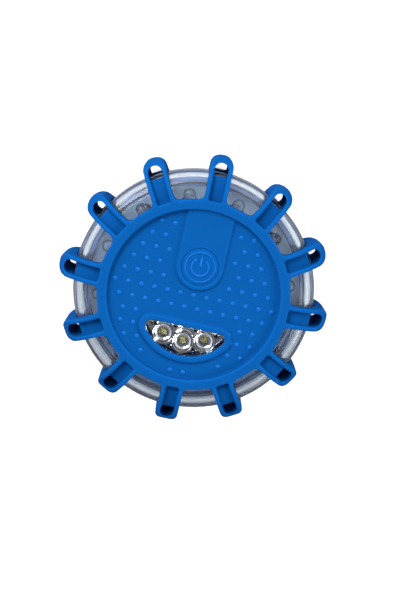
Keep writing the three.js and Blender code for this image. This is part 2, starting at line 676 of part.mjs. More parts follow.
// ---------------------------------------------------------------- rear cover
function rearCover() {
  const stubWay = disc(BAIL_WIRE / 2 + SLIDE_FIT, -BAIL_HALF_WIDTH - BAIL_STUB - FIT,
    BAIL_HALF_WIDTH + BAIL_STUB + FIT)
    .rotate([90, 0, 0])
    .translate([bailPivot, 0, bailZ])
    .rotate([0, 0, degrees(bailAngle)]);
  const magnetWay = disc(MAGNET_RADIUS + FIT, -PAST, magnetLow + MAGNET_HEIGHT + FIT, MIDDLE_STEPS)
    .translate(polar(magnetCentre, bailAngle));
  const screwWay = disc(SCREW_RADIUS + FIT, -PAST, HEIGHT);
  const cover = turned([
    [0, COVER_SETBACK], [plateauRadius - COVER_CHAMFER, COVER_SETBACK],
    [plateauRadius, COVER_SETBACK + COVER_CHAMFER], [plateauRadius, COVER_FLANGE_RISE],
    [coverRadius, COVER_FLANGE_RISE], [coverRadius, flangeTop],
    [plateauRadius, flangeTop], [plateauRadius, coverTop], [0, coverTop],
  ])
    .subtract(bailWay(bailPocketZ))
    .subtract(stubWay)
    .subtract(magnetWay);
  return around(COVER_SCREWS, Math.PI / COVER_SCREWS).reduce(
    (made, angle) => made.subtract(screwWay.translate(polar(coverScrewRadius, angle))),
    cover,
  );
}

function magnet() {
  return turned([
    [0, magnetLow], [MAGNET_RADIUS - MAGNET_CHAMFER, magnetLow],
    [MAGNET_RADIUS, magnetLow + MAGNET_CHAMFER], [MAGNET_RADIUS, magnetLow + MAGNET_HEIGHT],
    [0, magnetLow + MAGNET_HEIGHT],
  ], MIDDLE_STEPS).translate(polar(magnetCentre, bailAngle));
}

// A wire loop whose two ends turn outwards into the cover. It is drawn with its pivot along Y at
// x = bailPivot and its arms towards the centre.
function hangingBail() {
  const pivotStub = BAIL_HALF_WIDTH + BAIL_STUB;
  const round = BAIL_HALF_WIDTH;
  const crown = bailPivot - BAIL_LENGTH + round;
  const point = (x, y) => new THREE.Vector3(x, y, 0);
  const path = new THREE.CurvePath();
  const bend = (side) => new THREE.QuadraticBezierCurve3(
    point(bailPivot, side * (BAIL_HALF_WIDTH + BAIL_BEND)),
    point(bailPivot, side * BAIL_HALF_WIDTH),
    point(bailPivot - BAIL_BEND, side * BAIL_HALF_WIDTH),
  );
  const closing = bend(-1);
  [closing.v0, closing.v2] = [closing.v2, closing.v0];
  path.add(new THREE.LineCurve3(point(bailPivot, pivotStub), bend(1).v0));
  path.add(bend(1));
  path.add(new THREE.LineCurve3(bend(1).v2, point(crown, round)));
  path.add(new THREE.CatmullRomCurve3(
    arcPoints(crown, 0, round, Math.PI / 2, (3 * Math.PI) / 2, SMALL_STEPS).map((p) => point(p.x, p.y)),
  ));
  path.add(new THREE.LineCurve3(point(crown, -round), closing.v0));
  path.add(closing);
  path.add(new THREE.LineCurve3(closing.v2, point(bailPivot, -pivotStub)));
  const section = new THREE.Shape(arcPoints(0, 0, BAIL_WIRE / 2, 0, 2 * Math.PI, WIRE_SIDES).slice(0, -1));
  const options = { steps: BAIL_STEPS, extrudePath: path, bevelEnabled: false };
  return solid(new THREE.ExtrudeGeometry(section, options))
    .translate([0, 0, bailZ])
    .rotate([0, 0, degrees(bailAngle)]);
}

// ---------------------------------------------------------------- the assembly
const twoDigits = (number) => String(number).padStart(2, '0');

add('rubber_jacket', rubberJacket(), rubber);
add('power_button', powerButton(), buttonRubber);
add('clear_housing', clearHousing(), clearPlastic);
add('base_housing', baseHousing(), clearPlastic);
add('housing_seal', housingSeal(), sealRubber);

add('torch_window', torchWindow(), clearPlastic);
add('reflector', reflector(), chromePlating);
add('torch_board', torchBoard(), aluminium);
cupPlaces.forEach((place, i) => add(`torch_led_${i + 1}`, torchLed(place), phosphor));

add('main_board', mainBoard(), boardGreen);
around(LOOP_COUNT, Math.PI / 2 + loopPitch / 2).forEach((angle, i) => {
  add(`side_led_${twoDigits(i + 1)}`, sideLed(angle), ledEpoxy);
});
add('switch_body', switchBody(), blackPlastic);
add('switch_plunger', switchPlunger(), blackPlastic);
add('control_chip', controlChip(), blackPlastic);
around(BOARD_SCREWS, 0).forEach((angle, i) => {
  const fastener = screw(BOARD_SCREW_LENGTH).rotate([180, 0, 0]);
  const [x, y] = polar(boardScrewRadius, angle);
  add(`board_screw_${i + 1}`, fastener.translate([x, y, boardTop + FIT / 3]), steel);
});

add('battery_tray', batteryTray(), greyPlastic);
for (let row = 0; row < CELL_COUNT; row += 1) {
  const offset = row - (CELL_COUNT - 1) / 2;
  const facing = row % 2 ? -1 : 1;
  add(`battery_${row + 1}`, cell(offset, facing), cellWrap);
  add(`contact_spring_${row + 1}`, contactSpring(offset, facing), nickel);
}
add('contact_plate_left', contactPlate(-1), nickel);
add('contact_plate_right', contactPlate(1), nickel);

add('rear_cover', rearCover(), greyPlastic);
const gasketLow = flangeTop + FIT;
add('cover_gasket', ring(gasketInner, gasketOuter, gasketLow, gasketLow + GASKET_HEIGHT), gasketRubber);
add('magnet', magnet(), nickel);
around(COVER_SCREWS, Math.PI / COVER_SCREWS).forEach((angle, i) => {
  const [x, y] = polar(coverScrewRadius, angle);
  const seat = COVER_FLANGE_RISE - FIT / 3;
  add(`cover_screw_${i + 1}`, screw(COVER_SCREW_LENGTH).translate([x, y, seat]), steel);
});
add('hanging_bail', hangingBail(), steel);

export default root;
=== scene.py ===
"""Road flare: the looks round the CAD frame. Pieces are modelled in millimetres and finished in metres."""
import json
import math

import bpy
from mathutils import Matrix, Vector


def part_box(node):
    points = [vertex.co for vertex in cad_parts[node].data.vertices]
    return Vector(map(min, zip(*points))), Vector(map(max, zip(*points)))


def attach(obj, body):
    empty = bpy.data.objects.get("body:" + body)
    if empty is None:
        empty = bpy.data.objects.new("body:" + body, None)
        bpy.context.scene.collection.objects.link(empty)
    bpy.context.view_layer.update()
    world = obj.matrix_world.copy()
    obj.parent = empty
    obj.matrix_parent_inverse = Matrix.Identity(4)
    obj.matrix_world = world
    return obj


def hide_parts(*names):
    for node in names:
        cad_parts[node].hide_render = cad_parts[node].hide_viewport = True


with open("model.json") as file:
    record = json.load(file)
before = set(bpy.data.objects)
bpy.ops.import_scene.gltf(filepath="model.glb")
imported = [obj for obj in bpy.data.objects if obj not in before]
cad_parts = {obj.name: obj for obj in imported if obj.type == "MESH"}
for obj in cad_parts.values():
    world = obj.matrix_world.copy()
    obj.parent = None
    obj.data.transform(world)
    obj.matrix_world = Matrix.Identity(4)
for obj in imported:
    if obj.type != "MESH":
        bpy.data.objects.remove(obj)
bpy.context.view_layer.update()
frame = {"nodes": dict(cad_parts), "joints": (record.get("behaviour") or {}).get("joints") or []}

bl_info = {
    "name": "Road Flare",
    "version": (1, 0, 0),
    "blender": (4, 5, 0),
    "location": "View3D > Sidebar > Road Flare",
    "description": "Builds the jacket, lens, lamps and fittings of a rubber-jacketed LED road flare",
    "category": "Object",
}

MM = 0.001
TURN = 2 * math.pi
LOOPS = 12
PITCH = TURN / LOOPS
LENS_STEPS = 144
ROUND_STEPS = 64
SMALL_STEPS = 24
FIT = 0.15  # gap all round a piece that sits in another


def box_mm(node):
    low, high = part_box(node)
    return low / MM, high / MM


def plan_centre(node):
    """Centre of a CAD node as seen from above."""
    low, high = box_mm(node)
    return (low.x + high.x) / 2, (low.y + high.y) / 2


def bail_hinge():
    """How far out and how high the bail's pins are."""
    joint = next(j for j in frame["joints"] if j["name"] == "bail_swing")
    pivot = Vector(joint["pos_m"]) / MM
    return math.hypot(pivot.x, pivot.y), pivot.z


JACKET_HIGH = box_mm("rubber_jacket")[1]
FRONT_LOW, FRONT_HIGH = box_mm("clear_housing")
BACK_LOW, BACK_HIGH = box_mm("base_housing")
BUTTON_LOW, BUTTON_HIGH = box_mm("power_button")
WINDOW_LOW, WINDOW_HIGH = box_mm("torch_window")
CUPS_LOW, CUPS_HIGH = box_mm("reflector")
BOARD_LOW, BOARD_HIGH = box_mm("main_board")
COVER_LOW, COVER_HIGH = box_mm("rear_cover")
SEAL_HIGH = box_mm("housing_seal")[1]
REACH = JACKET_HIGH.y
RIM_Z = JACKET_HIGH.z
LENS_RADIUS = FRONT_HIGH.y
SEAM_Z = (FRONT_LOW.z + BACK_HIGH.z) / 2
BUTTON_Y = (BUTTON_LOW.y + BUTTON_HIGH.y) / 2
BAIL_ANGLE = TURN / 4 - PITCH / 2
BACK_RING = LENS_RADIUS - 4.6
LOOP_CREST = 0.5  # level part of the loops' rims, next to the rings
PAST = 2.0  # how far a cutting tool goes past what it cuts
STAND_IN = 0.6  # how far a raised detail is sunk into the face under it
SCREW_RADIUS = math.hypot(*plan_centre("cover_screw_1"))
POST_RADIUS = plan_centre("board_screw_1")[0]

# the torch window, a circular segment with rounded tips
WINDOW_FLANGE = 2.0
WINDOW_ARC = 19.0
WINDOW_DEPTH = 11.6
WINDOW_TIP = 2.4
WINDOW_BOTTOM = WINDOW_LOW.y + WINDOW_FLANGE
CUP_PLACES = [plan_centre(f"torch_led_{i}") for i in (1, 2, 3)]

# stage
SKY_STRENGTH = 1.15
SKY_ZENITH = 0.15
BACKDROP = 1.1
ROLL = math.radians(12.7)


# ---------------------------------------------------------------- settings
def length(name, description, millimetres):
    return bpy.props.FloatProperty(name=name, description=description, default=millimetres * MM,
                                   min=0.0, unit="LENGTH", precision=5)


def colour(name, description, rgb):
    return bpy.props.FloatVectorProperty(name=name, description=description, default=rgb,
                                         subtype="COLOR", size=3, min=0.0, max=1.0)


class FlareSizes(bpy.types.PropertyGroup):
    """Sizes of the moulded and turned shapes."""
    loop_width: length("Loop width", "Width of a bumper loop at its rim", 8.5)
    loop_length: length("Loop length", "How far a loop reaches out of the front ring", 17.1)
    loop_wall: length("Loop wall", "Side wall of a loop", 1.65)
    loop_end: length("Loop end wall", "Outer wall of a loop at half height", 2.8)
    loop_bulge: length("Loop bulge", "How far each side of a loop swells at half height", 0.3)
    shoulder_width: length("Lens shoulder width", "Width of the rounded shoulder of the lens", 5.6)
    shoulder_height: length("Lens shoulder height", "Height of the rounded shoulder of the lens", 8.0)
    root_fillet: length("Root fillet", "Fillet where a loop meets the ring", 2.2)
    slot_depth: length("Slot depth", "Depth of the hollow in a loop", 3.0)
    back_slot_depth: length("Back slot depth", "Depth of the hollow in the back of a loop", 2.4)
    ring_width: length("Ring width", "Flat of the front ring", 3.8)
    recess: length("Recess", "Depth of the front disc below the ring", 2.4)
    tab_width: length("Tab width", "Width of the raised tab round the button", 18.2)
    tab_rise: length("Tab rise", "Height of the tab above the recess", 1.0)
    surround: length("Window surround", "Width of the raised lip round the torch window", 2.6)
    surround_rise: length("Surround rise", "Height of that lip above the recess", 1.2)
    dot_radius: length("Dot radius", "Radius of a grip dot", 0.95)
    dot_pitch: length("Dot pitch", "Distance between rows of grip dots", 5.15)
    voxel: length("Moulding detail", "Cell size of the jacket's moulded surface", 0.42)


class FlareColours(bpy.types.PropertyGroup):
    """Colours of the finishes."""
    rubber: colour("Rubber", "Blue of the jacket", (0.0015, 0.088, 0.335))
    lens: colour("Lens", "Tint of the front shell", (0.87, 0.94, 1.0))
    # darker than the lens tint, as painted shade on the outer band of the lens where the back shell shows
    # through
    base: colour("Base", "Tint of the back shell", (0.48, 0.6, 0.84))
    board: colour("Board", "Solder mask of the circuit board", (0.012, 0.13, 0.05))
    phosphor: colour("Phosphor", "Yellow square of a torch LED", (0.6, 0.54, 0.17))
    cover: colour("Cover", "Grey plastic of the rear cover", (0.035, 0.04, 0.05))


def size(name):
    return getattr(bpy.context.scene.flare_sizes, name) / MM


def tint(name):
    return (*getattr(bpy.context.scene.flare_colours, name), 1.0)


# ---------------------------------------------------------------- modelling helpers
def activate(obj):
    if bpy.context.object and bpy.context.object.mode != "OBJECT":
        bpy.ops.object.mode_set(mode="OBJECT")
    bpy.ops.object.select_all(action="DESELECT")
    obj.hide_set(False)
    obj.select_set(True)
    bpy.context.view_layer.objects.active = obj
    return obj


def place(obj):
    """Moves an object's location, turn and scale into its mesh."""
    activate(obj)
    bpy.ops.object.transform_apply(location=True, rotation=True, scale=True)
    return obj


def from_points(name, points, edges, faces):
    mesh = bpy.data.meshes.new(name)
    mesh.from_pydata(points, edges, faces)
    obj = bpy.data.objects.new(name, mesh)
    bpy.context.scene.collection.objects.link(obj)
    return activate(obj)


def prism(name, outline, low, high, bevel=0.0):
    """An outline in plan raised from low to high, its upper rim rounded."""
    obj = from_points(name, [(x, y, low) for x, y in outline], [], [range(len(outline))])
    bpy.ops.object.mode_set(mode="EDIT")
    bpy.ops.mesh.select_all(action="SELECT")
    bpy.ops.mesh.extrude_region_move(TRANSFORM_OT_translate={"value": (0, 0, high - low)})
    bpy.ops.mesh.select_all(action="SELECT")
    bpy.ops.mesh.normals_make_consistent(inside=False)
    bpy.ops.object.mode_set(mode="OBJECT")
    if bevel:
        round_rim(obj, high, bevel)
    return obj


def round_rim(obj, height, amount, segments=4):
    """Bevels the edges that lie at a height."""
    activate(obj)
    bpy.ops.object.mode_set(mode="EDIT")
    bpy.ops.mesh.select_mode(type="EDGE")
    bpy.ops.mesh.select_all(action="DESELECT")
    bpy.ops.object.mode_set(mode="OBJECT")
    mesh = obj.data
    for edge in mesh.edges:
        edge.select = all(abs(mesh.vertices[i].co.z - height) < 1e-4 for i in edge.vertices)
    bpy.ops.object.mode_set(mode="EDIT")
    bpy.ops.mesh.bevel(offset=amount, segments=segments, affect="EDGES", clamp_overlap=False)
    bpy.ops.object.mode_set(mode="OBJECT")


def turned(name, profile, steps=ROUND_STEPS):
    """A profile of (radius, height) points spun round the Z axis."""
    points = [(r, 0, z) for r, z in profile]
    obj = from_points(name, points, [(i, i + 1) for i in range(len(points) - 1)], [])
    bpy.ops.object.mode_set(mode="EDIT")
    bpy.ops.mesh.select_all(action="SELECT")
    bpy.ops.mesh.spin(steps=steps, angle=TURN, center=(0, 0, 0), axis=(0, 0, 1))
    bpy.ops.mesh.select_all(action="SELECT")
    bpy.ops.mesh.remove_doubles(threshold=1e-4)
    bpy.ops.mesh.normals_make_consistent(inside=False)
    bpy.ops.object.mode_set(mode="OBJECT")
    return obj


def drum(name, radius, low, high, x=0.0, y=0.0, steps=ROUND_STEPS):
    bpy.ops.object.select_all(action="DESELECT")
    bpy.ops.mesh.primitive_cylinder_add(vertices=steps, radius=radius, depth=high - low,
                                        location=(x, y, (low + high) / 2))
    obj = bpy.context.object
    obj.name = name
    return place(obj)


def brick(name, low, high, turn=0.0):
    """A box between two corners, turned about the Z axis."""
    centre = [(a + b) / 2 for a, b in zip(low, high)]
    bpy.ops.object.select_all(action="DESELECT")
    bpy.ops.mesh.primitive_cube_add(size=1, location=centre)
    obj = bpy.context.object
    obj.name = name
    obj.scale = [b - a for a, b in zip(low, high)]
    place(obj)
    return spun(obj, turn)


def spun(obj, turn):
    """Turns an object about the Z axis."""
    obj.data.transform(Matrix.Rotation(turn, 4, "Z"))
    return obj


def moved(obj, x=0.0, y=0.0, z=0.0):
    obj.data.transform(Matrix.Translation((x, y, z)))
    return obj


def copied(obj, name):
    twin = obj.copy()
    twin.data = obj.data.copy()
    twin.name = name
    bpy.context.scene.collection.objects.link(twin)
    return twin


def around(obj, count, start=0.0):
    """count copies of obj round the Z axis in one object, the first turned by start."""
    twins = [spun(copied(obj, obj.name), start + i * TURN / count) for i in range(count)]
    bpy.data.objects.remove(obj)
    return joined(twins)


def joined(objects):
    activate(objects[0])
    for obj in objects[1:]:
        obj.select_set(True)
    bpy.ops.object.join()
    return bpy.context.object


def shaped(obj, tool, operation="DIFFERENCE"):
    """Cuts obj by tool, or adds tool to it."""
    activate(obj)
    cut = obj.modifiers.new("shape", "BOOLEAN")
    cut.operation = operation
    cut.solver = "MANIFOLD"
    cut.object = tool
    bpy.ops.object.modifier_apply(modifier=cut.name)
    bpy.data.objects.remove(tool)
    return obj


def modified(obj, kind, **settings):
    activate(obj)
    modifier = obj.modifiers.new(kind.lower(), kind)
    for key, value in settings.items():
        setattr(modifier, key, value)
    bpy.ops.object.modifier_apply(modifier=modifier.name)
    return obj


def softened(obj, width, segments=3):
    """Rounds every edge that turns by more than 35 degrees."""
    return modified(obj, "BEVEL", width=width, segments=segments, limit_method="ANGLE",
                    angle_limit=math.radians(35), use_clamp_overlap=True)


def wire(name, points, radius, closed=False, resolution=4):
    """A round wire along points, as a mesh."""
    curve = bpy.data.curves.new(name, "CURVE")
    curve.dimensions = "3D"
    curve.bevel_depth = radius
    curve.bevel_resolution = resolution
    curve.use_fill_caps = not closed
    spline = curve.splines.new("POLY")
    spline.points.add(len(points) - 1)
    for target, point in zip(spline.points, points):
        target.co = (*point, 1)
    spline.use_cyclic_u = closed
    obj = bpy.data.objects.new(name, curve)
    bpy.context.scene.collection.objects.link(obj)
    activate(obj)
    bpy.ops.object.convert(target="MESH")
    obj = bpy.context.object
    bpy.ops.object.mode_set(mode="EDIT")
    bpy.ops.mesh.select_all(action="SELECT")
    bpy.ops.mesh.remove_doubles(threshold=1e-4)
    bpy.ops.mesh.normals_make_consistent(inside=False)
    bpy.ops.object.mode_set(mode="OBJECT")
    return obj


def painted(obj, *materials):
    for material in materials:
        obj.data.materials.append(material)
    return obj


def finished(obj, name, body, nodes, slot, *materials, angle=40):
    """Turns millimetres into metres, shades and paints a piece, and gives it its place in the frame."""
    obj.name = name
    obj.data.name = name
    obj.data.transform(Matrix.Scale(MM, 4))
    activate(obj)
    bpy.ops.object.shade_smooth_by_angle(angle=math.radians(angle))
    modified(obj, "WEIGHTED_NORMAL", keep_sharp=True)
    if materials:
        obj.data.materials.clear()
        painted(obj, *materials)
    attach(obj, body)
    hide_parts(*nodes)
    return obj


def dress(name, material, width):
    """Gives a CAD node its finish and slightly rounded edges, and leaves its mesh alone."""
    obj = frame["nodes"][name]
    for index in range(max(len(obj.material_slots), 1)):
        if index < len(obj.material_slots):
            obj.material_slots[index].link = "OBJECT"
            obj.material_slots[index].material = material
        else:
            obj.data.materials.append(material)
    weld = obj.modifiers.new("weld", "WELD")
    weld.merge_threshold = 1e-6
    bevel = obj.modifiers.new("edges", "BEVEL")
    bevel.width = width * MM
    bevel.segments = 2
    bevel.limit_method = "ANGLE"
    bevel.angle_limit = math.radians(40)


# ---------------------------------------------------------------- outlines in plan
def arc(x, y, radius, start, end, steps):
    return [(x + radius * math.cos(start + (end - start) * i / steps),
             y + radius * math.sin(start + (end - start) * i / steps)) for i in range(steps + 1)]


def jacket_outline(ring_radius):
    """A ring with filleted, round-ended loops, from above."""
    half = size("loop_width") / 2
    fillet = size("root_fillet")
    fillet_steps, end_steps, ring_steps = 7, 20, 8
    fillet_x = half + fillet
    fillet_y = math.sqrt((ring_radius + fillet) ** 2 - fillet_x ** 2)
    bearing = math.atan2(-fillet_y, fillet_x)
    gap = math.atan2(fillet_x, fillet_y)
    loop = arc(fillet_x, fillet_y, fillet, -math.pi - bearing, -math.pi, fillet_steps)
    loop += arc(0, REACH - half, half, 0, math.pi, end_steps)
    loop += arc(-fillet_x, fillet_y, fillet, 0, bearing, fillet_steps)
    loop += arc(0, 0, ring_radius, TURN / 4 + gap, TURN / 4 + PITCH - gap, ring_steps)[1:-1]
    turns = [(math.cos(i * PITCH), math.sin(i * PITCH)) for i in range(LOOPS)]
    return [(x * c - y * s, x * s + y * c) for c, s in turns for x, y in loop]


def slot_outline(start, steps=16):
    half = size("loop_width") / 2 - size("loop_wall")
    end = REACH - size("loop_end") - half
    return [(-half, start), (half, start)] + arc(0, end, half, 0, math.pi, steps)


def window_outline(offset, tip_steps=10, arc_steps=48):
    """The torch window, grown by offset."""
    arc_y = WINDOW_BOTTOM + WINDOW_ARC
    tip_y = WINDOW_BOTTOM + WINDOW_DEPTH - WINDOW_TIP
    tip_x = math.sqrt((WINDOW_ARC - WINDOW_TIP) ** 2 - (tip_y - arc_y) ** 2)
    bearing = math.atan2(tip_y - arc_y, tip_x)
    right = arc(tip_x, tip_y, WINDOW_TIP + offset, bearing, TURN / 4, tip_steps)
    left = arc(-tip_x, tip_y, WINDOW_TIP + offset, TURN / 4, math.pi - bearing, tip_steps)
    below = arc(0, arc_y, WINDOW_ARC + offset, -math.pi - bearing, bearing, arc_steps)
    return right + left + below[1:-1]


def tab_outline(steps=40):
    half = size("tab_width") / 2
    top = REACH - size("loop_length") - size("ring_width") / 2
    return arc(0, BUTTON_Y, half, -math.pi, 0, steps) + [(half, top), (-half, top)]


# ---------------------------------------------------------------- shader groups
def new_group(name, values):
    """A shader group that takes a colour and named values, and gives a colour, roughness and height."""
    group = bpy.data.node_groups.new(name, "ShaderNodeTree")
    group.interface.new_socket("Colour", in_out="INPUT", socket_type="NodeSocketColor")
    for label, default in values.items():
        socket = group.interface.new_socket(label, in_out="INPUT", socket_type="NodeSocketFloat")
        socket.default_value = default
    for label, kind in (("Colour", "Color"), ("Roughness", "Float"), ("Height", "Float")):
        group.interface.new_socket(label, in_out="OUTPUT", socket_type="NodeSocket" + kind)
    return group, group.nodes.new("NodeGroupInput").outputs


def closed_group(group, colour, roughness, height):
    """Links what a shader group gives."""
    made = group.nodes.new("NodeGroupOutput")
    for label, source in (("Colour", colour), ("Roughness", roughness), ("Height", height)):
        group.links.new(source, made.inputs[label])
    return group


def node(tree, kind, links=(), **settings):
    """Adds a node, sets its attributes, and fills its sockets from values or other sockets."""
    made = tree.nodes.new(kind)
    for key, value in settings.items():
        setattr(made, key, value)
    for socket, source in dict(links).items():
        if isinstance(source, bpy.types.NodeSocket):
            tree.links.new(source, made.inputs[socket])
        else:
            made.inputs[socket].default_value = source
    return made


def coordinates(tree, kind="Object"):
    return node(tree, "ShaderNodeTexCoord").outputs[kind]


def maths(tree, operation, first, second):
    return node(tree, "ShaderNodeMath", {0: first, 1: second}, operation=operation).outputs[0]


def ranged(tree, value, to_min, to_max, from_min=0.0, from_max=1.0):
    """A value mapped from one range onto another."""
    return node(tree, "ShaderNodeMapRange", {"Value": value, "From Min": from_min, "From Max": from_max,
                                             "To Min": to_min, "To Max": to_max}).outputs[0]


def noise(tree, at, scale, detail=2.0, roughness=0.5):
    return node(tree, "ShaderNodeTexNoise", {"Vector": at, "Scale": scale, "Detail": detail,
                                             "Roughness": roughness}).outputs["Fac"]


def valued(tree, rgba, value):
    """A colour made lighter or darker."""
    return node(tree, "ShaderNodeHueSaturation", {"Color": rgba, "Value": value}).outputs["Color"]


def moulded_group():
    """Fine spark-eroded grain, slow colour drift, and a painted highlight on convex edges with painted
    shade in creases, for moulded rubber and plastic.
    """
    group, given = new_group("Moulded Surface", {"Grain Scale": 3000.0, "Grain Depth": 0.5,
                                                 "Roughness": 0.5, "Drift": 0.1, "Painted Edge Light": 0.3})
    at = coordinates(group)
    fine = noise(group, at, given["Grain Scale"], 4.0, 0.6)
    broad = maths(group, "SUBTRACT", noise(group, at, 90.0, 3.0), 0.5)
    drift = maths(group, "MULTIPLY", broad, given["Drift"])
    # painted light: pointiness makes convex edges and dome tops paler as a painted highlight, and creases
    # darker as painted shade
    point = node(group, "ShaderNodeNewGeometry").outputs["Pointiness"]
    edge = ranged(group, point, -0.45, 1.0, 0.46, 0.6)
    painted_edge_light = maths(group, "MULTIPLY", edge, given["Painted Edge Light"])
    value = maths(group, "ADD", maths(group, "ADD", painted_edge_light, drift), 1.0)
    rough = maths(group, "ADD", given["Roughness"], maths(group, "MULTIPLY", fine, 0.16))
    height = maths(group, "MULTIPLY", fine, given["Grain Depth"])
    return closed_group(group, valued(group, given["Colour"], value), rough, height)


def worn_metal_group():
    """Fine scratches and a slightly smudged polish for plated and bare metal."""
    group, given = new_group("Handled Metal", {"Roughness": 0.2, "Smudge": 0.15, "Scratch Scale": 900.0})
    at = coordinates(group)
    stretched = node(group, "ShaderNodeMapping", {"Vector": at, "Scale": (1, 7, 1)}).outputs[0]
    scratch = noise(group, stretched, given["Scratch Scale"], 3.0)
    cloud = noise(group, at, 160.0)
    rough = maths(group, "ADD", given["Roughness"], maths(group, "MULTIPLY", cloud, given["Smudge"]))
    value = ranged(group, cloud, 0.9, 1.06)
    return closed_group(group, valued(group, given["Colour"], value), rough, scratch)


# ---------------------------------------------------------------- materials
def shader_of(name):
    material = bpy.data.materials.get(name)
    if material:
        return material, None
    material = bpy.data.materials.new(name)
    material.use_nodes = True
    return material, material.node_tree.nodes["Principled BSDF"]


def bumped(tree, shader, height, strength, distance):
    bump = node(tree, "ShaderNodeBump", {"Height": height, "Strength": strength, "Distance": distance})
    tree.links.new(bump.outputs["Normal"], shader.inputs["Normal"])


def surfaced(name, group_name, build_group, values, bump, distance):
    """A material whose colour, roughness and relief come from a shader group."""
    material, shader = shader_of(name)
    if shader:
        tree = material.node_tree
        surface = bpy.data.node_groups.get(group_name) or build_group()
        made = node(tree, "ShaderNodeGroup", values, node_tree=surface)
        tree.links.new(made.outputs["Colour"], shader.inputs["Base Color"])
        tree.links.new(made.outputs["Roughness"], shader.inputs["Roughness"])
        bumped(tree, shader, made.outputs["Height"], bump, distance)
    return material, shader


# edge sets the strength of the painted highlight on convex edges and the painted shade in creases
def moulded(name, rgba, roughness, grain=3200.0, depth=0.6, drift=0.08, edge=0.3, bump=0.25,
            specular=0.5):
    values = {"Colour": rgba, "Grain Scale": grain, "Grain Depth": depth, "Roughness": roughness,
              "Drift": drift, "Painted Edge Light": edge}
    material, shader = surfaced(name, "Moulded Surface", moulded_group, values, bump, 0.00006)
    if shader:
        shader.inputs["Specular IOR Level"].default_value = specular
    return material


def metal(name, rgba, roughness, smudge=0.12, bump=0.04):
    values = {"Colour": rgba, "Roughness": roughness, "Smudge": smudge}
    material, shader = surfaced(name, "Handled Metal", worn_metal_group, values, bump, 0.00004)
    if shader:
        shader.inputs["Metallic"].default_value = 1.0
    return material


def clear(name, rgba, roughness, ior=1.49, haze=0.03, weight=1.0):
    """Clear moulded plastic: faint flow marks in its gloss."""
    material, shader = shader_of(name)
    if shader is None:
        return material
    tree = material.node_tree
    flow = noise(tree, coordinates(tree), 120.0)
    toned = valued(tree, rgba, ranged(tree, flow, 0.97, 1.0))
    tree.links.new(toned, shader.inputs["Base Color"])
    tree.links.new(ranged(tree, flow, roughness, roughness + haze), shader.inputs["Roughness"])
    bumped(tree, shader, flow, 0.02, 0.0002)
    shader.inputs["Transmission Weight"].default_value = weight
    shader.inputs["IOR"].default_value = ior
    return material


def rubber():
    return moulded("Blue rubber", tint("rubber"), 0.78, grain=2600.0, depth=1.0, drift=0.06, edge=0.55,
                   bump=0.3, specular=0.04)


def polished_highlit_rubber():
    """The same rubber on the raised details, smoother, and paler as a painted highlight."""
    # painted highlight: the dots and the button's ridges are made paler than the rubber round them
    painted_highlight = 1.3
    rgba = [min(1.0, painted_highlight * c) for c in tint("rubber")]
    return moulded("Polished blue rubber, painted highlight", rgba, 0.36, grain=2600.0, depth=0.6, drift=0.06, edge=0.4,
                   bump=0.15, specular=0.1)


def lens_plastic():
    return clear("Clear plastic", tint("lens"), 0.0, ior=1.3, haze=0.04, weight=0.96)


def base_plastic():
    # its darker tint is painted shade on the lens's outer band
    return clear("Base plastic", tint("base"), 0.0, ior=1.3, haze=0.06, weight=0.96)


def frosted_plastic():
    """The spark-textured floor of the back shell."""
    return moulded("Frosted plastic", (0.86, 0.95, 1.0, 1.0), 0.5, grain=1800.0, depth=1.0, drift=0.1,
                   edge=0.1)


def window_plastic():
    return clear("Window plastic", (0.95, 0.97, 1.0, 1.0), 0.0, ior=1.3, haze=0.01)


def epoxy():
    """Clear, with painted shade that darkens it where a dome turns away from view."""
    material = clear("Lamp epoxy", (0.9, 0.94, 1.0, 1.0), 0.0, ior=1.4, haze=0.01)
    tree = material.node_tree
    if "rim" not in tree.nodes:
        shader = tree.nodes["Principled BSDF"]
        plain = shader.inputs["Base Color"].links[0].from_socket
        # painted shade: a dark blue rim where the dome faces away from the eye
        facing = node(tree, "ShaderNodeLayerWeight", {"Blend": 0.5}, name="rim").outputs["Facing"]
        edge = ranged(tree, facing, 0.0, 1.0, 0.15, 0.55)
        toned = node(tree, "ShaderNodeMix", {"Factor": edge, "A": plain, "B": (0.01, 0.03, 0.1, 1)},
                     data_type="RGBA")
        tree.links.new(toned.outputs["Result"], shader.inputs["Base Color"])
    return material


def chrome():
    return metal("Chrome plating", (0.93, 0.94, 0.97, 1.0), 0.0, smudge=0.02, bump=0.0)


def steel():
    return metal("Bright steel", (0.55, 0.56, 0.58, 1.0), 0.16, smudge=0.2)


def nickel():
    return metal("Nickel plate", (0.62, 0.6, 0.56, 1.0), 0.14, smudge=0.15)


def tinned_lead():
    return metal("Tinned lead", (0.72, 0.73, 0.75, 1.0), 0.22)


def black_plastic():
    return moulded("Black plastic", (0.012, 0.012, 0.014, 1.0), 0.45)


def white_package():
    return moulded("White package", (0.7, 0.69, 0.64, 1.0), 0.4)


def cover_plastic():
    return moulded("Grey plastic", tint("cover"), 0.5, grain=2200.0, depth=1.0, edge=0.5, bump=0.35)


def phosphor():
    return moulded("Phosphor", tint("phosphor"), 0.5, grain=5000.0, depth=1.0, drift=0.3, edge=0.1)


def seal_rubber():
    return moulded("Seal rubber", (0.055, 0.035, 0.025, 1.0), 0.6, edge=0.1)


def gasket_rubber():
    return moulded("Gasket rubber", (0.014, 0.015, 0.017, 1.0), 0.65, edge=0.2)


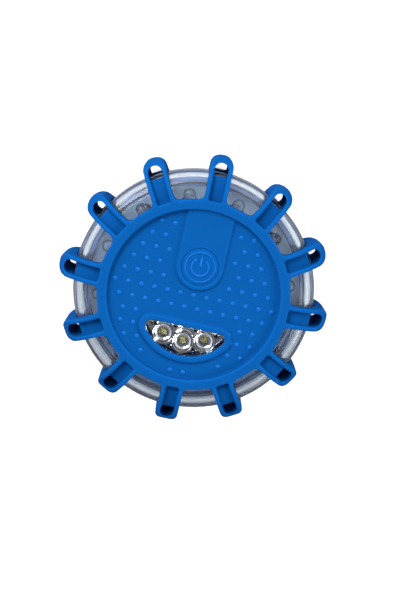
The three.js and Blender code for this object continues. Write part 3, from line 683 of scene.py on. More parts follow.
def cell_sleeve():
    """Shrink sleeve of a cell: dark, with a plain band at one end."""
    material, shader = shader_of("Cell sleeve")
    if shader is None:
        return material
    tree = material.node_tree
    at = coordinates(tree)
    apart = node(tree, "ShaderNodeSeparateXYZ", {0: at})
    band = maths(tree, "GREATER_THAN", apart.outputs["X"], 0.012)
    paint = node(tree, "ShaderNodeMix", {"Factor": band, "A": (0.02, 0.022, 0.03, 1),
                                         "B": (0.35, 0.19, 0.05, 1)}, data_type="RGBA")
    tree.links.new(paint.outputs["Result"], shader.inputs["Base Color"])
    tree.links.new(ranged(tree, noise(tree, at, 220.0), 0.22, 0.34), shader.inputs["Roughness"])
    return material


def board_mask():
    """Solder mask with copper tracks showing through as paler lines."""
    material, shader = shader_of("Solder mask")
    if shader is None:
        return material
    tree = material.node_tree
    at = coordinates(tree)
    tracks = node(tree, "ShaderNodeTexBrick", {"Vector": at, "Scale": 160.0, "Mortar Size": 0.05,
                                               "Color1": tint("board"), "Color2": tint("board"),
                                               "Mortar": (0.03, 0.24, 0.09, 1)})
    tree.links.new(tracks.outputs["Color"], shader.inputs["Base Color"])
    tree.links.new(ranged(tree, noise(tree, at, 700.0), 0.25, 0.42), shader.inputs["Roughness"])
    bumped(tree, shader, tracks.outputs["Fac"], 0.3, 0.00004)
    return material


# ---------------------------------------------------------------- pieces
def shoulder(radius, z, width, drop, steps):
    """Quarter of an ellipse in profile, from its level end outwards. A negative drop rises."""
    bearings = [TURN / 4 * (1 - i / steps) for i in range(steps + 1)]
    return [(radius + width * math.cos(b), z - drop * (1 - math.sin(b))) for b in bearings]


def puck(name, grow, steps=12):
    """Outside of the two clear shells together, grown by a gap."""
    low, high = BACK_LOW.z - grow, FRONT_HIGH.z + grow
    width, drop = size("shoulder_width"), size("shoulder_height")
    flat = LENS_RADIUS + grow - width
    profile = [(0, low)] + shoulder(flat, low, width, -drop, steps)
    profile += shoulder(flat, high, width, drop, steps)[::-1] + [(0, high)]
    return turned(name, profile, LENS_STEPS)


def bumper_form(name):
    """The round-edged shape that the loops are cut from, fullest at half height."""
    back_steps, front_steps = 20, 24
    front = REACH - size("loop_length") + LOOP_CREST
    back = BACK_RING + LOOP_CREST
    profile = [(0, 0)] + shoulder(back, 0, REACH - back, -SEAM_Z, back_steps)
    profile += shoulder(front, RIM_Z, REACH - front, RIM_Z - SEAM_Z, front_steps)[::-1][1:]
    profile += [(0, RIM_Z)]
    return turned(name, profile, LENS_STEPS)


def grip_dots():
    """Staggered rows of low domes over the recessed disc, clear of the tab and the torch window."""
    pitch = size("dot_pitch")
    radius = size("dot_radius")
    floor = RIM_Z - size("recess")
    ring_gap, tab_gap, lip_gap = 0.75, 0.35, 0.3
    squash, sink = 0.58, 0.08
    edge = REACH - size("loop_length") - size("ring_width") - radius - ring_gap
    tab_half = size("tab_width") / 2 + radius + tab_gap
    clear_of_lip = size("surround") + radius + lip_gap
    arc_y, arc_reach = WINDOW_BOTTOM + WINDOW_ARC, WINDOW_ARC + clear_of_lip
    window_top = WINDOW_BOTTOM + WINDOW_DEPTH + clear_of_lip
    window_half = 19.6
    shifted_rows = (1, 3, 5, -1, -4, -6)
    bpy.ops.object.select_all(action="DESELECT")
    bpy.ops.mesh.primitive_uv_sphere_add(segments=16, ring_count=8, radius=radius)
    dome = bpy.context.object
    dome.scale = (1, 1, squash)
    place(dome)
    dots = []
    for row in range(-7, 8):
        y = row * pitch
        shift = pitch / 2 if row in shifted_rows else 0.0
        for column in range(-8, 8):
            x = column * pitch + shift
            near_button = math.hypot(x, y - BUTTON_Y) < tab_half
            in_tab = near_button or (abs(x) < tab_half and y > BUTTON_Y)
            in_arc = math.hypot(x, y - arc_y) < arc_reach
            in_window = in_arc and y < window_top and abs(x) < window_half
            if math.hypot(x, y) < edge and not in_tab and not in_window:
                dots.append(moved(copied(dome, "dot"), x, y, floor - radius * sink))
    bpy.data.objects.remove(dome)
    return painted(joined(dots), polished_highlit_rubber())


def jacket_moulding():
    """The whole jacket: outside shape, room for what it holds, hollow loops, tab, lip and dots."""
    lens_lap, slot_lap, seam_lap = 1.1, 0.2, 1.0
    key_lap, flange_drop, flange_room = 0.95, 1.7, 1.1
    tab_edge, lip_edge = 0.3, 0.8
    ring = REACH - size("loop_length")
    recess_z = RIM_Z - size("recess")
    jacket = prism("jacket", jacket_outline(ring), SEAM_Z, RIM_Z)
    shaped(jacket, prism("back", jacket_outline(BACK_RING), 0.0, SEAM_Z), "UNION")
    shaped(jacket, bumper_form("form"), "INTERSECT")
    shaped(jacket, puck("puck", FIT))
    recess = drum("recess", ring - size("ring_width"), recess_z, RIM_Z + PAST, steps=LENS_STEPS)
    shaped(jacket, recess)
    cover_way = drum("cover way", COVER_HIGH.y + 2 * FIT, -PAST, BACK_LOW.z + FIT, steps=LENS_STEPS)
    shaped(jacket, cover_way)
    deep, low, front, rear = [
        around(prism(name, slot_outline(start), bottom, top), LOOPS) for name, start, bottom, top in (
            ("deep", LENS_RADIUS - lens_lap, SEAM_Z, RIM_Z + PAST),
            ("low", LENS_RADIUS + 2 * FIT, -PAST, SEAM_Z + seam_lap),
            ("front", ring - slot_lap, SEAM_Z, RIM_Z + PAST),
            ("rear", BACK_RING - slot_lap, -PAST, SEAM_Z))]
    shaped(front, moved(bumper_form("floor"), z=-size("slot_depth")))
    shaped(rear, moved(bumper_form("floor"), z=size("back_slot_depth")))
    for slot in (deep, low, front, rear):
        shaped(jacket, slot)
    root_z = recess_z - STAND_IN
    tab = prism("tab", tab_outline(), root_z, recess_z + size("tab_rise"), tab_edge)
    shaped(jacket, tab, "UNION")
    lip_z = recess_z + size("surround_rise")
    lip = prism("lip", window_outline(size("surround")), root_z, lip_z, lip_edge)
    shaped(jacket, lip, "UNION")
    shaped(jacket, drum("key way", BUTTON_HIGH.x - key_lap, BACK_HIGH.z, RIM_Z, y=BUTTON_Y))
    flange_top = BUTTON_HIGH.z - flange_drop
    shaped(jacket, drum("flange way", BUTTON_HIGH.x + 2 * FIT, BACK_HIGH.z, flange_top, y=BUTTON_Y))
    shaped(jacket, prism("opening", window_outline(0.0), BACK_HIGH.z, RIM_Z))
    seat = window_outline(WINDOW_FLANGE + 2 * FIT)
    shaped(jacket, prism("seat", seat, BACK_HIGH.z, WINDOW_LOW.z + flange_room))
    shaped(jacket, bail_way(20.0, 2.8))
    modified(jacket, "REMESH", mode="VOXEL", voxel_size=size("voxel"), adaptivity=0.0)
    modified(jacket, "SMOOTH", factor=0.5, iterations=5)
    swell(jacket)
    modified(jacket, "DECIMATE", ratio=0.42)
    jacket.data.materials.clear()
    painted(jacket, rubber())
    return joined([jacket, grip_dots()])


def bail_way(start, top, half=6.3):
    """Room for the bail along its stored bearing, from a radius outwards."""
    return brick("bail way", (start, -half, -PAST), (REACH, half, top), BAIL_ANGLE)


def swell(jacket):
    """Loops are widest at half height: their sides draw in towards both rims."""
    run_in = 4
    bulge = size("loop_bulge")
    half = size("loop_width") / 2
    start = REACH - size("loop_length") + size("root_fillet")
    for vertex in jacket.data.vertices:
        x, y, z = vertex.co
        radius = math.hypot(x, y)
        if radius < start:
            continue
        bearing = math.atan2(y, x)
        axis = round(bearing / PITCH) * PITCH
        across = radius * math.sin(bearing - axis)
        along = radius * math.cos(bearing - axis)
        fullness = (1 - ((z - SEAM_Z) / SEAM_Z) ** 2) * min(1.0, (radius - start) / run_in)
        across += bulge * across / half * fullness
        vertex.co.x = along * math.cos(axis) - across * math.sin(axis)
        vertex.co.y = along * math.sin(axis) + across * math.cos(axis)


def power_key():
    """A flanged key on a stem, its rim rounded, with a raised circle and the power symbol."""
    flange, top, low = BUTTON_HIGH.x, BUTTON_HIGH.z, BUTTON_LOW.z
    radius, skirt = flange - 1.2, flange - 1.0
    flange_low = FRONT_HIGH.z + 1.1
    flange_high = flange_low + 0.7
    key = turned("key", [
        (0, low), (1.9, low), (2.2, low + 0.3), (2.2, flange_low), (flange, flange_low),
        (flange, flange_high), (skirt, flange_high), (skirt, top - 0.35), (radius, top - 0.3),
        (radius - 0.12, top - 0.14), (radius - 0.4, top - 0.03), (radius - 0.6, top), (0, top),
    ], LENS_STEPS)
    gap, fine, bold = 32, 0.34, 0.46
    circle = arc(0, 0, 5.75, 0, TURN, 96)[:-1]
    symbol = arc(0, -0.1, 3.3, math.radians(90 + gap), math.radians(450 - gap), 48)
    stroke = [(0, 0.4), (0, 3.9)]
    ridges = joined([wire(name, [(x, y, top) for x, y in points], width, closed=name == "circle")
                     for name, points, width in (("circle", circle, fine), ("symbol", symbol, bold),
                                                 ("stroke", stroke, bold))])
    key = joined([painted(key, rubber()), painted(ridges, polished_highlit_rubber())])
    return moved(key, y=BUTTON_Y)


def shell_profile(flat, seam, toward):
    """One clear shell from its flat face to the seam. toward is +1 for the front, -1 for the back."""
    wall, plate, land, land_height, rounded = 2.4, 1.8, 3.0, 1.8, 0.25
    ridge, ridge_steps = 0.09, (5, 6, 9, 10)
    inner = LENS_RADIUS - wall
    width, drop = size("shoulder_width"), size("shoulder_height")
    outside = shoulder(LENS_RADIUS - width, flat, width, toward * drop, 18)
    outside = [(r + (ridge if i in ridge_steps else 0.0), z) for i, (r, z) in enumerate(outside)]
    inside_z = flat - toward * plate
    inside = shoulder(inner - width + 1, inside_z, width - 1, toward * (drop - plate), 12)[::-1]
    ledge = seam + toward * land_height
    profile = [(0, flat)] + outside
    profile += [(LENS_RADIUS, seam + toward * rounded), (LENS_RADIUS - rounded, seam)]
    profile += [(inner - land, seam), (inner - land, ledge), (inner, ledge)]
    return profile + inside + [(0, inside_z)]


def front_shell():
    shell = turned("front shell", shell_profile(FRONT_HIGH.z, FRONT_LOW.z, 1), LENS_STEPS)
    shaped(shell, prism("window way", window_outline(0.8), FRONT_LOW.z, RIM_Z))
    shaped(shell, drum("stem way", 2.5, FRONT_LOW.z, RIM_Z, y=BUTTON_Y, steps=SMALL_STEPS))
    return shell


def back_shell():
    """The back shell with its screw bosses and board posts, its floor frosted."""
    shell = turned("back shell", shell_profile(BACK_LOW.z, BACK_HIGH.z, -1), LENS_STEPS)
    tray_low, tray_high = box_mm("battery_tray")
    floor = BACK_LOW.z + 1.6
    boss_top = box_mm("cover_screw_1")[1].z + 0.6
    thick, pilot, clear_top, gap = 3.0, 1.4, 30, 2 * FIT
    for name, out, top, start in (("boss", SCREW_RADIUS, boss_top, TURN / 8),
                                  ("post", POST_RADIUS, BOARD_LOW.z - gap, 0.0)):
        post = drum(name, thick, floor, top, x=out, steps=SMALL_STEPS)
        shaped(shell, around(post, 4, start), "UNION")
    shaped(shell, brick("tray way", (tray_low.x - gap, tray_low.y - gap, 0),
                        (tray_high.x + gap, tray_high.y + gap, floor + 1)))
    for out, bottom, start in ((SCREW_RADIUS, 0, TURN / 8), (POST_RADIUS, BOARD_LOW.z - 5.6, 0.0)):
        hole = drum("pilot", pilot, bottom, clear_top, x=out, steps=SMALL_STEPS)
        shaped(shell, around(hole, 4, start))
    shell.data.materials.clear()
    painted(shell, base_plastic(), frosted_plastic())
    for face in shell.data.polygons:
        inside = face.normal.z > 0.5 and face.center.z < BACK_LOW.z + 2.5
        face.material_index = 1 if inside else 0
    return shell


def seal_ring(name, reach, z, thickness, stretch):
    """A ring of oval section, stretched in height."""
    section = arc(reach - thickness / 2, z, thickness / 2, 0, TURN, 12)
    return turned(name, [(r, z + (height - z) * stretch) for r, height in section], LENS_STEPS)


def side_lamp():
    """A brimmed 5 mm LED that points along +X, with the cup and posts in its epoxy."""
    radius, brim, body = 2.45, 2.9, 1.75
    half, lead_y, lead_low, lead_high = 0.25, 1.27, -2.4, 0.9
    dome = arc(0, body, radius, 0, TURN / 4, 10)
    profile = [(0, 0), (brim - 0.1, 0), (brim, 0.1), (brim, 0.6), (brim - 0.1, 0.7), (radius, 0.7)]
    lamp = turned("lamp", profile + dome[:-1] + [(0, body + radius)], 32)
    painted(lamp, epoxy())
    leads = [brick("lead", (-half, y - half, lead_low), (half, y + half, lead_high))
             for y in (-lead_y, lead_y)]
    cup = turned("cup", [(0, 0.9), (0.5, 0.9), (0.9, 1.9), (0.6, 1.9), (0.35, 1.5), (0, 1.5)],
                 SMALL_STEPS)
    bridge = brick("bridge", (-half, -1.5, 0.75), (half, 0.3, 1.15))
    anvil = brick("anvil", (-half, 0.9, 0.75), (half, 1.5, 1.9))
    lamp = joined([lamp, painted(joined(leads + [cup, bridge, anvil]), tinned_lead())])
    lamp.data.transform(Matrix.Rotation(TURN / 4, 4, "Y"))
    return lamp


def torch_pane():
    """The clear window with the flange that holds it in the jacket."""
    pane = prism("flange", window_outline(WINDOW_FLANGE), WINDOW_LOW.z, WINDOW_LOW.z + 0.8)
    step = prism("pane", window_outline(-0.12), WINDOW_LOW.z + 0.4, WINDOW_HIGH.z, 0.35)
    return shaped(pane, step, "UNION")


def reflector_cups():
    """Three thin-walled faceted bowls that stand out of a plate with pyramids between them."""
    top, low = CUPS_HIGH.z, CUPS_LOW.z
    plate_z = top - 2.2
    facets, height = 20, 1.6
    wall = [(0, low), (3.2, low), (4.1, plate_z), (4.5, top - 0.12), (4.42, top), (0, top)]
    body = prism("cups", window_outline(0.5), low, plate_z)
    for x, y in CUP_PLACES:
        shaped(body, moved(turned("wall", wall), x, y), "UNION")
    for x, y in CUP_PLACES:
        shaped(body, moved(turned("bowl", bowl_profile(low, top), facets), x, y))
    spikes = []
    for out, y, radius in ((12.6, -14.6, 1.5), (4.2, -13.9, 1.3), (4.6, -22.6, 1.2), (10.2, -20.6, 0.9)):
        for x in (-out, out):
            bpy.ops.object.select_all(action="DESELECT")
            bpy.ops.mesh.primitive_cone_add(vertices=5, radius1=radius, depth=height,
                                            location=(x, y, plate_z + 0.7))
            spikes.append(place(bpy.context.object))
    return joined([body] + spikes)


def bowl_profile(low, top):
    throat, mouth, collar = 1.95, 4.3, 1.9
    first, step = 12, 7
    bearings = [math.radians(first + step * i) for i in range(11)]
    spread, rise = mouth - throat, top - low - collar
    wall = [(throat + spread * math.sin(b), low + collar + rise * (1 - math.cos(b))) for b in bearings]
    start = [(0, low - 1), (throat, low - 1), (throat, low + collar)]
    return start + wall + [(mouth, top + 1), (0, top + 1)]


def torch_chip(name):
    """A white package, the yellow square on it and the paler spot in its middle."""
    low, high = box_mm(name)
    inset, rounding = 0.1, 0.1
    base = softened(brick("base", low, (high.x, high.y, high.z - 0.3)), 0.12)
    painted(base, white_package())
    square = brick("square", (low.x + inset, low.y + inset, high.z - 0.5),
                   (high.x - inset, high.y - inset, high.z - inset))
    painted(softened(square, rounding), phosphor())
    spot = drum("spot", 0.85, high.z - 0.2, high.z, *plan_centre(name), 32)
    painted(spot, moulded("Phosphor centre", (0.8, 0.76, 0.42, 1.0), 0.4, edge=0.05))
    return joined([base, square, spot])


def board_plate():
    """A round board with a resistor and two solder pads behind each lamp."""
    face = BOARD_HIGH.z
    plate = drum("board", BOARD_HIGH.y, BOARD_LOW.z, face, steps=LENS_STEPS)
    shaped(plate, around(drum("hole", 1.4, 0, 40, x=POST_RADIUS, steps=SMALL_STEPS), 4))
    painted(softened(plate, 0.1, 2), board_mask())
    resistor = painted(brick("body", (29.5, -0.6, face), (31.5, 0.6, face + 0.5)), black_plastic())
    ends = joined([brick("end", (x, -0.62, face), (x + 0.35, 0.62, face + 0.52)) for x in (29.3, 31.35)])
    resistors = around(joined([resistor, painted(ends, tinned_lead())]), LOOPS, PITCH / 2)
    pads = joined([brick("pad", (33.4, y, face), (35.2, y + 1.6, face + 0.06)) for y in (-2.1, 0.5)])
    pads = around(painted(pads, tinned_lead()), LOOPS, PITCH / 2)
    return joined([plate, resistors, pads])


def bail_wire():
    """A wire bent round at its far end, its two feet turned out into the cover."""
    low, high = box_mm("hanging_bail")
    reach, hinge_z = bail_hinge()
    half, bend, stub, length_of = 5.1, 1.2, 2.7, 29.0
    crown = reach - length_of + half
    side = [(reach, half + stub), (reach, half + bend)]
    side += arc(reach - bend, half + bend, bend, 0, -TURN / 4, 6)[1:]
    path = side + arc(crown, 0, half, TURN / 4, 3 * TURN / 4, 24)
    path += [(x, -y) for x, y in reversed(side)]
    bail = wire("bail", [(x, y, hinge_z) for x, y in path], (high.z - low.z) / 2, resolution=6)
    return spun(bail, BAIL_ANGLE)


def pan_screw(node_name, down):
    """A pan-head screw with a cross recess and a threaded shank, standing where its CAD node is."""
    low, high = box_mm(node_name)
    span = high.z - low.z
    head_height, core, crest, pitch, per_turn = 1.0, 0.85, 0.92, 0.7, 14
    head = turned("head", [
        (0, -head_height), (1.2, -0.96), (1.75, -0.75), (2.05, -0.35), (2.1, 0), (core, 0),
        (core, span - 2.0), (0, span - head_height)], 32)
    for turn in (0, TURN / 4):
        shaped(head, brick("cross", (-1.1, -0.24, -2), (1.1, 0.24, -0.5), turn))
    thread = []
    for i in range(int((span - 2.2) / pitch) * per_turn + 1):
        angle = TURN * i / per_turn
        thread.append((crest * math.cos(angle), crest * math.sin(angle), 0.3 + pitch * i / per_turn))
    screw = joined([head, wire("thread", thread, 0.16, resolution=1)])
    seat_z = low.z + head_height
    if not down:
        screw.data.transform(Matrix.Rotation(math.pi, 4, "X"))
        seat_z = high.z - head_height
    return moved(screw, *plan_centre(node_name), seat_z)


def cover_plate():
    """A flanged disc with room for the bail, its pins, the magnet and the screws, and a ring groove."""
    low, high, edge = COVER_LOW.z, COVER_HIGH.z, COVER_HIGH.y
    gasket_width, gasket_gap = 1.6, 0.6
    plateau = box_mm("cover_gasket")[1].y - gasket_width - gasket_gap
    flange_low, flange_high, chamfer = 1.5, 3.3, 0.25
    reach, hinge_z = bail_hinge()
    cover = turned("cover", [
        (0, low), (plateau - 0.6, low), (plateau - 0.18, low + 0.18), (plateau, low + 0.6),
        (plateau, flange_low), (edge - chamfer, flange_low), (edge, flange_low + chamfer),
        (edge, flange_high - chamfer), (edge - chamfer, flange_high), (plateau, flange_high),
        (plateau, high), (0, high),
    ], LENS_STEPS)
    shaped(cover, bail_way(reach - 30.1, 2.5))
    pins = drum("stub way", 1.05, -8.1, 8.1, steps=SMALL_STEPS)
    pins.data.transform(Matrix.Rotation(TURN / 4, 4, "X"))
    shaped(cover, spun(moved(pins, reach, 0, hinge_z), BAIL_ANGLE))
    magnet_top = box_mm("magnet")[1].z
    shaped(cover, drum("magnet way", 8.8, -PAST, magnet_top + 2 * FIT, *plan_centre("magnet")))
    hole = drum("screw way", 1.4, -PAST, 9, x=SCREW_RADIUS, steps=SMALL_STEPS)
    shaped(cover, around(hole, 4, TURN / 8))
    inner, outer, depth = 24.2, 25.0, 0.4
    groove = turned("groove", [(inner, low - 1), (outer, low - 1), (outer, low + depth),
                               (inner, low + depth), (inner, low - 1)], LENS_STEPS)
    shaped(groove, brick("keep", (reach - 31, -8, -3), (REACH, 8, 4), BAIL_ANGLE))
    shaped(cover, groove)
    return softened(cover, 0.2, 3)


def magnet_disc():
    low, high = box_mm("magnet")
    disc = turned("magnet", [(0, low.z), (7.9, low.z), (8.3, low.z + 0.1), (8.5, low.z + 0.4),
                             (8.5, high.z - 0.3), (8.2, high.z), (0, high.z)], 96)
    return moved(disc, *plan_centre("magnet"))


def coil_spring(name):
    """A conical contact spring, wide at its plate, with its axis at the height of the cells'."""
    low, high = box_mm(name)
    y, z = plan_centre(name)[1], box_mm("battery_1")[0].z + 5.25
    gauge, wide, taper, coils, steps = 0.3, 3.4, 1.4, 2.5, 60
    start, end = low.x + gauge, high.x - gauge
    if low.x >= 0:
        start, end = end, start
    points = []
    for i in range(steps + 1):
        t = i / steps
        x = start + (end - start) * t
        radius = wide - taper * t
        angle = TURN * coils * t
        points.append((x, y + radius * math.cos(angle), z + radius * math.sin(angle)))
    return wire(name, points, gauge, resolution=2)


def cell_body(name):
    """A cell that lies along X with its raised end away from the middle."""
    low, high = box_mm(name)
    radius = (high.z - low.z) / 2
    span = high.x - low.x
    cell = turned("cell", [
        (0, 0), (3.6, 0), (3.8, 0.15), (radius - 0.5, 0.15), (radius - 0.1, 0.3), (radius, 0.7),
        (radius, span - 2.0), (radius - 0.2, span - 1.5), (radius - 0.8, span - 1.2),
        (1.9, span - 1.2), (1.9, span - 0.2), (1.7, span), (0, span)], 48)
    cell.data.transform(Matrix.Rotation(TURN / 4, 4, "Y"))
    start = low.x
    if low.x + high.x < 0:
        spun(cell, math.pi)
        start = high.x
    return moved(cell, start, plan_centre(name)[1], low.z + radius)


# ---------------------------------------------------------------- operators
class FlareOperator:
    bl_options = {"REGISTER", "UNDO"}


class FLARE_OT_jacket(FlareOperator, bpy.types.Operator):
    """Mould the rubber jacket with its loops, tab, window lip and grip dots"""
    bl_idname = "flare.jacket"
    bl_label = "Rubber jacket"

    def execute(self, context):
        finished(jacket_moulding(), "jacket_moulding", "housing", ["rubber_jacket"], "jacket_rubber",
                 angle=60)
        return {"FINISHED"}


class FLARE_OT_button(FlareOperator, bpy.types.Operator):
    """Mould the power button with its raised circle and symbol"""
    bl_idname = "flare.button"
    bl_label = "Power button"

    def execute(self, context):
        finished(power_key(), "power_key", "button", ["power_button"], "button_rubber", angle=35)
        return {"FINISHED"}


class FLARE_OT_shells(FlareOperator, bpy.types.Operator):
    """Turn the two clear shells and the seal between them"""
    bl_idname = "flare.shells"
    bl_label = "Clear shells"

    def execute(self, context):
        finished(front_shell(), "front_shell", "housing", ["clear_housing"], "clear_plastic",
                 lens_plastic(), angle=25)
        finished(back_shell(), "back_shell", "housing", ["base_housing"], "clear_plastic", angle=25)
        seal = seal_ring("seal", SEAL_HIGH.y, SEAM_Z, 0.8, 1.35)
        finished(seal, "seam_seal", "housing", ["housing_seal"], "seal_rubber", seal_rubber())
        return {"FINISHED"}


class FLARE_OT_torch(FlareOperator, bpy.types.Operator):
    """Make the torch window, reflector and its three LEDs"""
    bl_idname = "flare.torch"
    bl_label = "Torch"

    def execute(self, context):
        finished(torch_pane(), "torch_pane", "housing", ["torch_window"], "clear_plastic",
                 window_plastic(), angle=25)
        finished(reflector_cups(), "reflector_cups", "housing", ["reflector"], "chrome_plating",
                 chrome(), angle=30)
        for i in (1, 2, 3):
            name = f"torch_led_{i}"
            finished(torch_chip(name), f"torch_chip_{i}", "housing", [name], "led_phosphor")
        return {"FINISHED"}


class FLARE_OT_lamps(FlareOperator, bpy.types.Operator):
    """Set the twelve clear side lamps between the loops"""
    bl_idname = "flare.lamps"
    bl_label = "Side lamps"

    def execute(self, context):
        pattern = side_lamp()
        for i in range(LOOPS):
            name = f"side_led_{i + 1:02d}"
            low, high = box_mm(name)
            lamp = moved(copied(pattern, name), BOARD_HIGH.y + 0.6, 0, (low.z + high.z) / 2)
            spun(lamp, TURN / 4 + PITCH / 2 + i * PITCH)
            finished(lamp, f"side_lamp_{i + 1:02d}", "housing", [name], "led_epoxy", angle=30)
        bpy.data.objects.remove(pattern)
        return {"FINISHED"}


class FLARE_OT_board(FlareOperator, bpy.types.Operator):
    """Populate the circuit board and finish what stands on it"""
    bl_idname = "flare.board"
    bl_label = "Circuit board"

    def execute(self, context):
        finished(board_plate(), "board_plate", "housing", ["main_board"], "board_green")
        for i in range(1, 5):
            name = f"board_screw_{i}"
            finished(pan_screw(name, False), f"board_fixing_{i}", "housing", [name], "bright_steel",
                     steel())
        for name in ("switch_body", "switch_plunger", "control_chip"):
            dress(name, black_plastic(), 0.15)
        dress("torch_board", metal("Board aluminium", (0.7, 0.71, 0.73, 1.0), 0.3), 0.1)
        return {"FINISHED"}


class FLARE_OT_cells(FlareOperator, bpy.types.Operator):
    """Fit the cells, their springs, plates and tray"""
    bl_idname = "flare.cells"
    bl_label = "Cells"

    def execute(self, context):
        for i in (1, 2, 3):
            name, spring = f"battery_{i}", f"contact_spring_{i}"
            finished(cell_body(name), f"cell_{i}", "housing", [name], "cell_wrap", cell_sleeve())
            finished(coil_spring(spring), f"coil_{i}", "housing", [spring], "nickel_plate", nickel())
        dress("contact_plate_left", nickel(), 0.08)
        dress("contact_plate_right", nickel(), 0.08)
        dress("battery_tray", cover_plastic(), 0.3)
        return {"FINISHED"}


class FLARE_OT_cover(FlareOperator, bpy.types.Operator):
    """Fit the rear cover with its gasket, magnet and screws"""
    bl_idname = "flare.cover"
    bl_label = "Rear cover"

    def execute(self, context):
        finished(cover_plate(), "cover_plate", "rear_cover", ["rear_cover"], "grey_plastic",
                 cover_plastic(), angle=30)
        low, high = box_mm("cover_gasket")
        gasket = seal_ring("gasket", high.y, (low.z + high.z) / 2, 1.6, 0.62)
        finished(gasket, "gasket_ring", "rear_cover", ["cover_gasket"], "gasket_rubber", gasket_rubber())
        finished(magnet_disc(), "magnet_disc", "rear_cover", ["magnet"], "nickel_plate", nickel())
        for i in range(1, 5):
            name = f"cover_screw_{i}"
            finished(pan_screw(name, True), f"cover_fixing_{i}", "rear_cover", [name], "bright_steel",
                     steel())
        return {"FINISHED"}


class FLARE_OT_bail(FlareOperator, bpy.types.Operator):
    """Bend the hanging bail"""
    bl_idname = "flare.bail"
    bl_label = "Hanging bail"

    def execute(self, context):
        finished(bail_wire(), "bail_wire", "bail", ["hanging_bail"], "bright_steel", steel())
        return {"FINISHED"}


class FLARE_OT_stage(FlareOperator, bpy.types.Operator):
    """Set the pale floor, the soft lights and the camera"""
    bl_idname = "flare.stage"
    bl_label = "Stage"

    def execute(self, context):
        floor_and_sky()
        soft_light("key", (-0.4, 0.42, 0.66), width=0.5, power=7.0)
        soft_light("fill", (0.65, -0.1, 0.42), width=0.4, power=2.5)
        camera()
        return {"FINISHED"}


def floor_and_sky():
    bpy.ops.object.select_all(action="DESELECT")
    bpy.ops.mesh.primitive_plane_add(size=6.0, location=(0, 0, 0))
    floor = bpy.context.object
    floor.name = "floor"
    floor.data.materials.append(floor_paint())
    world = bpy.data.worlds.new("Studio")
    bpy.context.scene.world = world
    world.use_nodes = True
    tree = world.node_tree
    sky = tree.nodes["Background"]
    at = coordinates(tree, "Generated")
    apart = node(tree, "ShaderNodeSeparateXYZ", {0: at})
    rise = ranged(tree, apart.outputs["Z"], SKY_STRENGTH, SKY_ZENITH, 0.35, 0.95)
    lean = ranged(tree, along_image(tree, at), 0.68, 1.28, -1.0)
    direct = maths(tree, "MULTIPLY", node(tree, "ShaderNodeLightPath").outputs["Is Camera Ray"], BACKDROP)
    strength = maths(tree, "MAXIMUM", maths(tree, "MULTIPLY", rise, lean), direct)
    tree.links.new(strength, sky.inputs["Strength"])
    sky.inputs["Color"].default_value = (0.97, 0.98, 1.0, 1)


def image_up():
    return (-math.sin(ROLL), math.cos(ROLL), 0.0)


def along_image(tree, at):
    """How far a place lies towards the top of the view."""
    return node(tree, "ShaderNodeVectorMath", {0: at, 1: image_up()},
                operation="DOT_PRODUCT").outputs["Value"]


def floor_paint():
    """A white sweep that glows to the eye, with a painted contact shadow where the flare stands over it,
    and a painted shadow towards the bottom of the view where it is seen through clear plastic.
    """
    material, shader = shader_of("Pale floor")
    tree = material.node_tree
    at = coordinates(tree)
    # painted contact shadow: the glow fades where ambient occlusion finds the flare above the floor
    open_sky = node(tree, "ShaderNodeAmbientOcclusion", {"Distance": 0.06}, samples=12).outputs["AO"]
    ray = node(tree, "ShaderNodeLightPath").outputs
    direct = maths(tree, "MULTIPLY", ray["Is Camera Ray"], ranged(tree, open_sky, 0.02, 1.0, 0.12, 0.4))
    # painted shadow: seen through clear plastic, the floor glows less towards the bottom of the view
    shade = ranged(tree, along_image(tree, at), 0.05, 0.4, -0.05, 0.05)
    through = maths(tree, "MULTIPLY", ray["Is Transmission Ray"], shade)
    strength = maths(tree, "MAXIMUM", direct, through)
    tree.links.new(ranged(tree, noise(tree, at, 3.0), 0.7, 0.8), shader.inputs["Roughness"])
    tree.links.new(strength, shader.inputs["Emission Strength"])
    shader.inputs["Base Color"].default_value = (0.36, 0.375, 0.4, 1)
    shader.inputs["Emission Color"].default_value = (1, 1, 1, 1)
    return material


def soft_light(name, place_at, width, power):
    light = bpy.data.lights.new(name, "AREA")
    light.shape = "DISK"
    light.size = width
    light.energy = power
    obj = bpy.data.objects.new(name, light)
    bpy.context.scene.collection.objects.link(obj)
    obj.location = place_at
    obj.rotation_euler = (-Vector(place_at)).to_track_quat("-Z", "Y").to_euler()


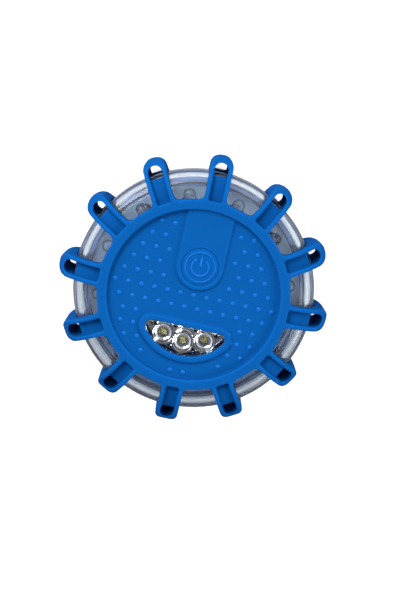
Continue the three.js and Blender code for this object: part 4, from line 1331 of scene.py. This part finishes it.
def camera():
    """Looks down on the lit face, tipped a little towards the end with the button."""
    tilt, lean = math.radians(11.05), math.radians(0.9)
    shift_right, shift_down = 6.45, 3.57
    distance = 0.4
    scale_px = 2.608 / MM
    frame_height = 600
    right = Vector((math.cos(ROLL), math.sin(ROLL), 0))
    up = Vector(image_up())
    tip = up * math.cos(lean) - right * math.sin(lean)
    back = (Vector((0, 0, 1)) * math.cos(tilt) + tip * math.sin(tilt)).normalized()
    view_up = (up - back * up.dot(back)).normalized()
    view_right = view_up.cross(back)
    aim = Vector((0, 0, RIM_Z * MM))
    aim += view_right * (shift_right / scale_px) - view_up * (shift_down / scale_px)
    data = bpy.data.cameras.new("camera")
    obj = bpy.data.objects.new("camera", data)
    bpy.context.scene.collection.objects.link(obj)
    data.sensor_width = 36.0
    data.lens = scale_px * distance / frame_height * data.sensor_width
    data.clip_start = 0.01
    obj.matrix_world = Matrix.Translation(aim + back * distance) @ Matrix(
        (view_right, view_up, back)).transposed().to_4x4()
    bpy.context.scene.camera = obj
    bpy.context.scene.view_settings.view_transform = "Standard"


class FLARE_PT_panel(bpy.types.Panel):
    """Lists the flare's pieces"""
    bl_label = "Road Flare"
    bl_idname = "FLARE_PT_panel"
    bl_space_type = "VIEW_3D"
    bl_region_type = "UI"
    bl_category = "Road Flare"

    def draw(self, context):
        for operator in OPERATORS:
            self.layout.operator(operator.bl_idname)
        for settings in (context.scene.flare_sizes, context.scene.flare_colours):
            for key in settings.__annotations__:
                self.layout.prop(settings, key)


OPERATORS = [FLARE_OT_stage, FLARE_OT_jacket, FLARE_OT_button, FLARE_OT_shells, FLARE_OT_torch,
             FLARE_OT_lamps, FLARE_OT_board, FLARE_OT_cells, FLARE_OT_cover, FLARE_OT_bail]
CLASSES = [FlareSizes, FlareColours, *OPERATORS, FLARE_PT_panel]


def register():
    for cls in CLASSES:
        bpy.utils.register_class(cls)
    bpy.types.Scene.flare_sizes = bpy.props.PointerProperty(type=FlareSizes)
    bpy.types.Scene.flare_colours = bpy.props.PointerProperty(type=FlareColours)


def unregister():
    del bpy.types.Scene.flare_colours
    del bpy.types.Scene.flare_sizes
    for cls in reversed(CLASSES):
        bpy.utils.unregister_class(cls)


def main():
    register()
    for operator in OPERATORS:
        group, name = operator.bl_idname.split(".")
        getattr(getattr(bpy.ops, group), name)()


if __name__ == "__main__":
    main()
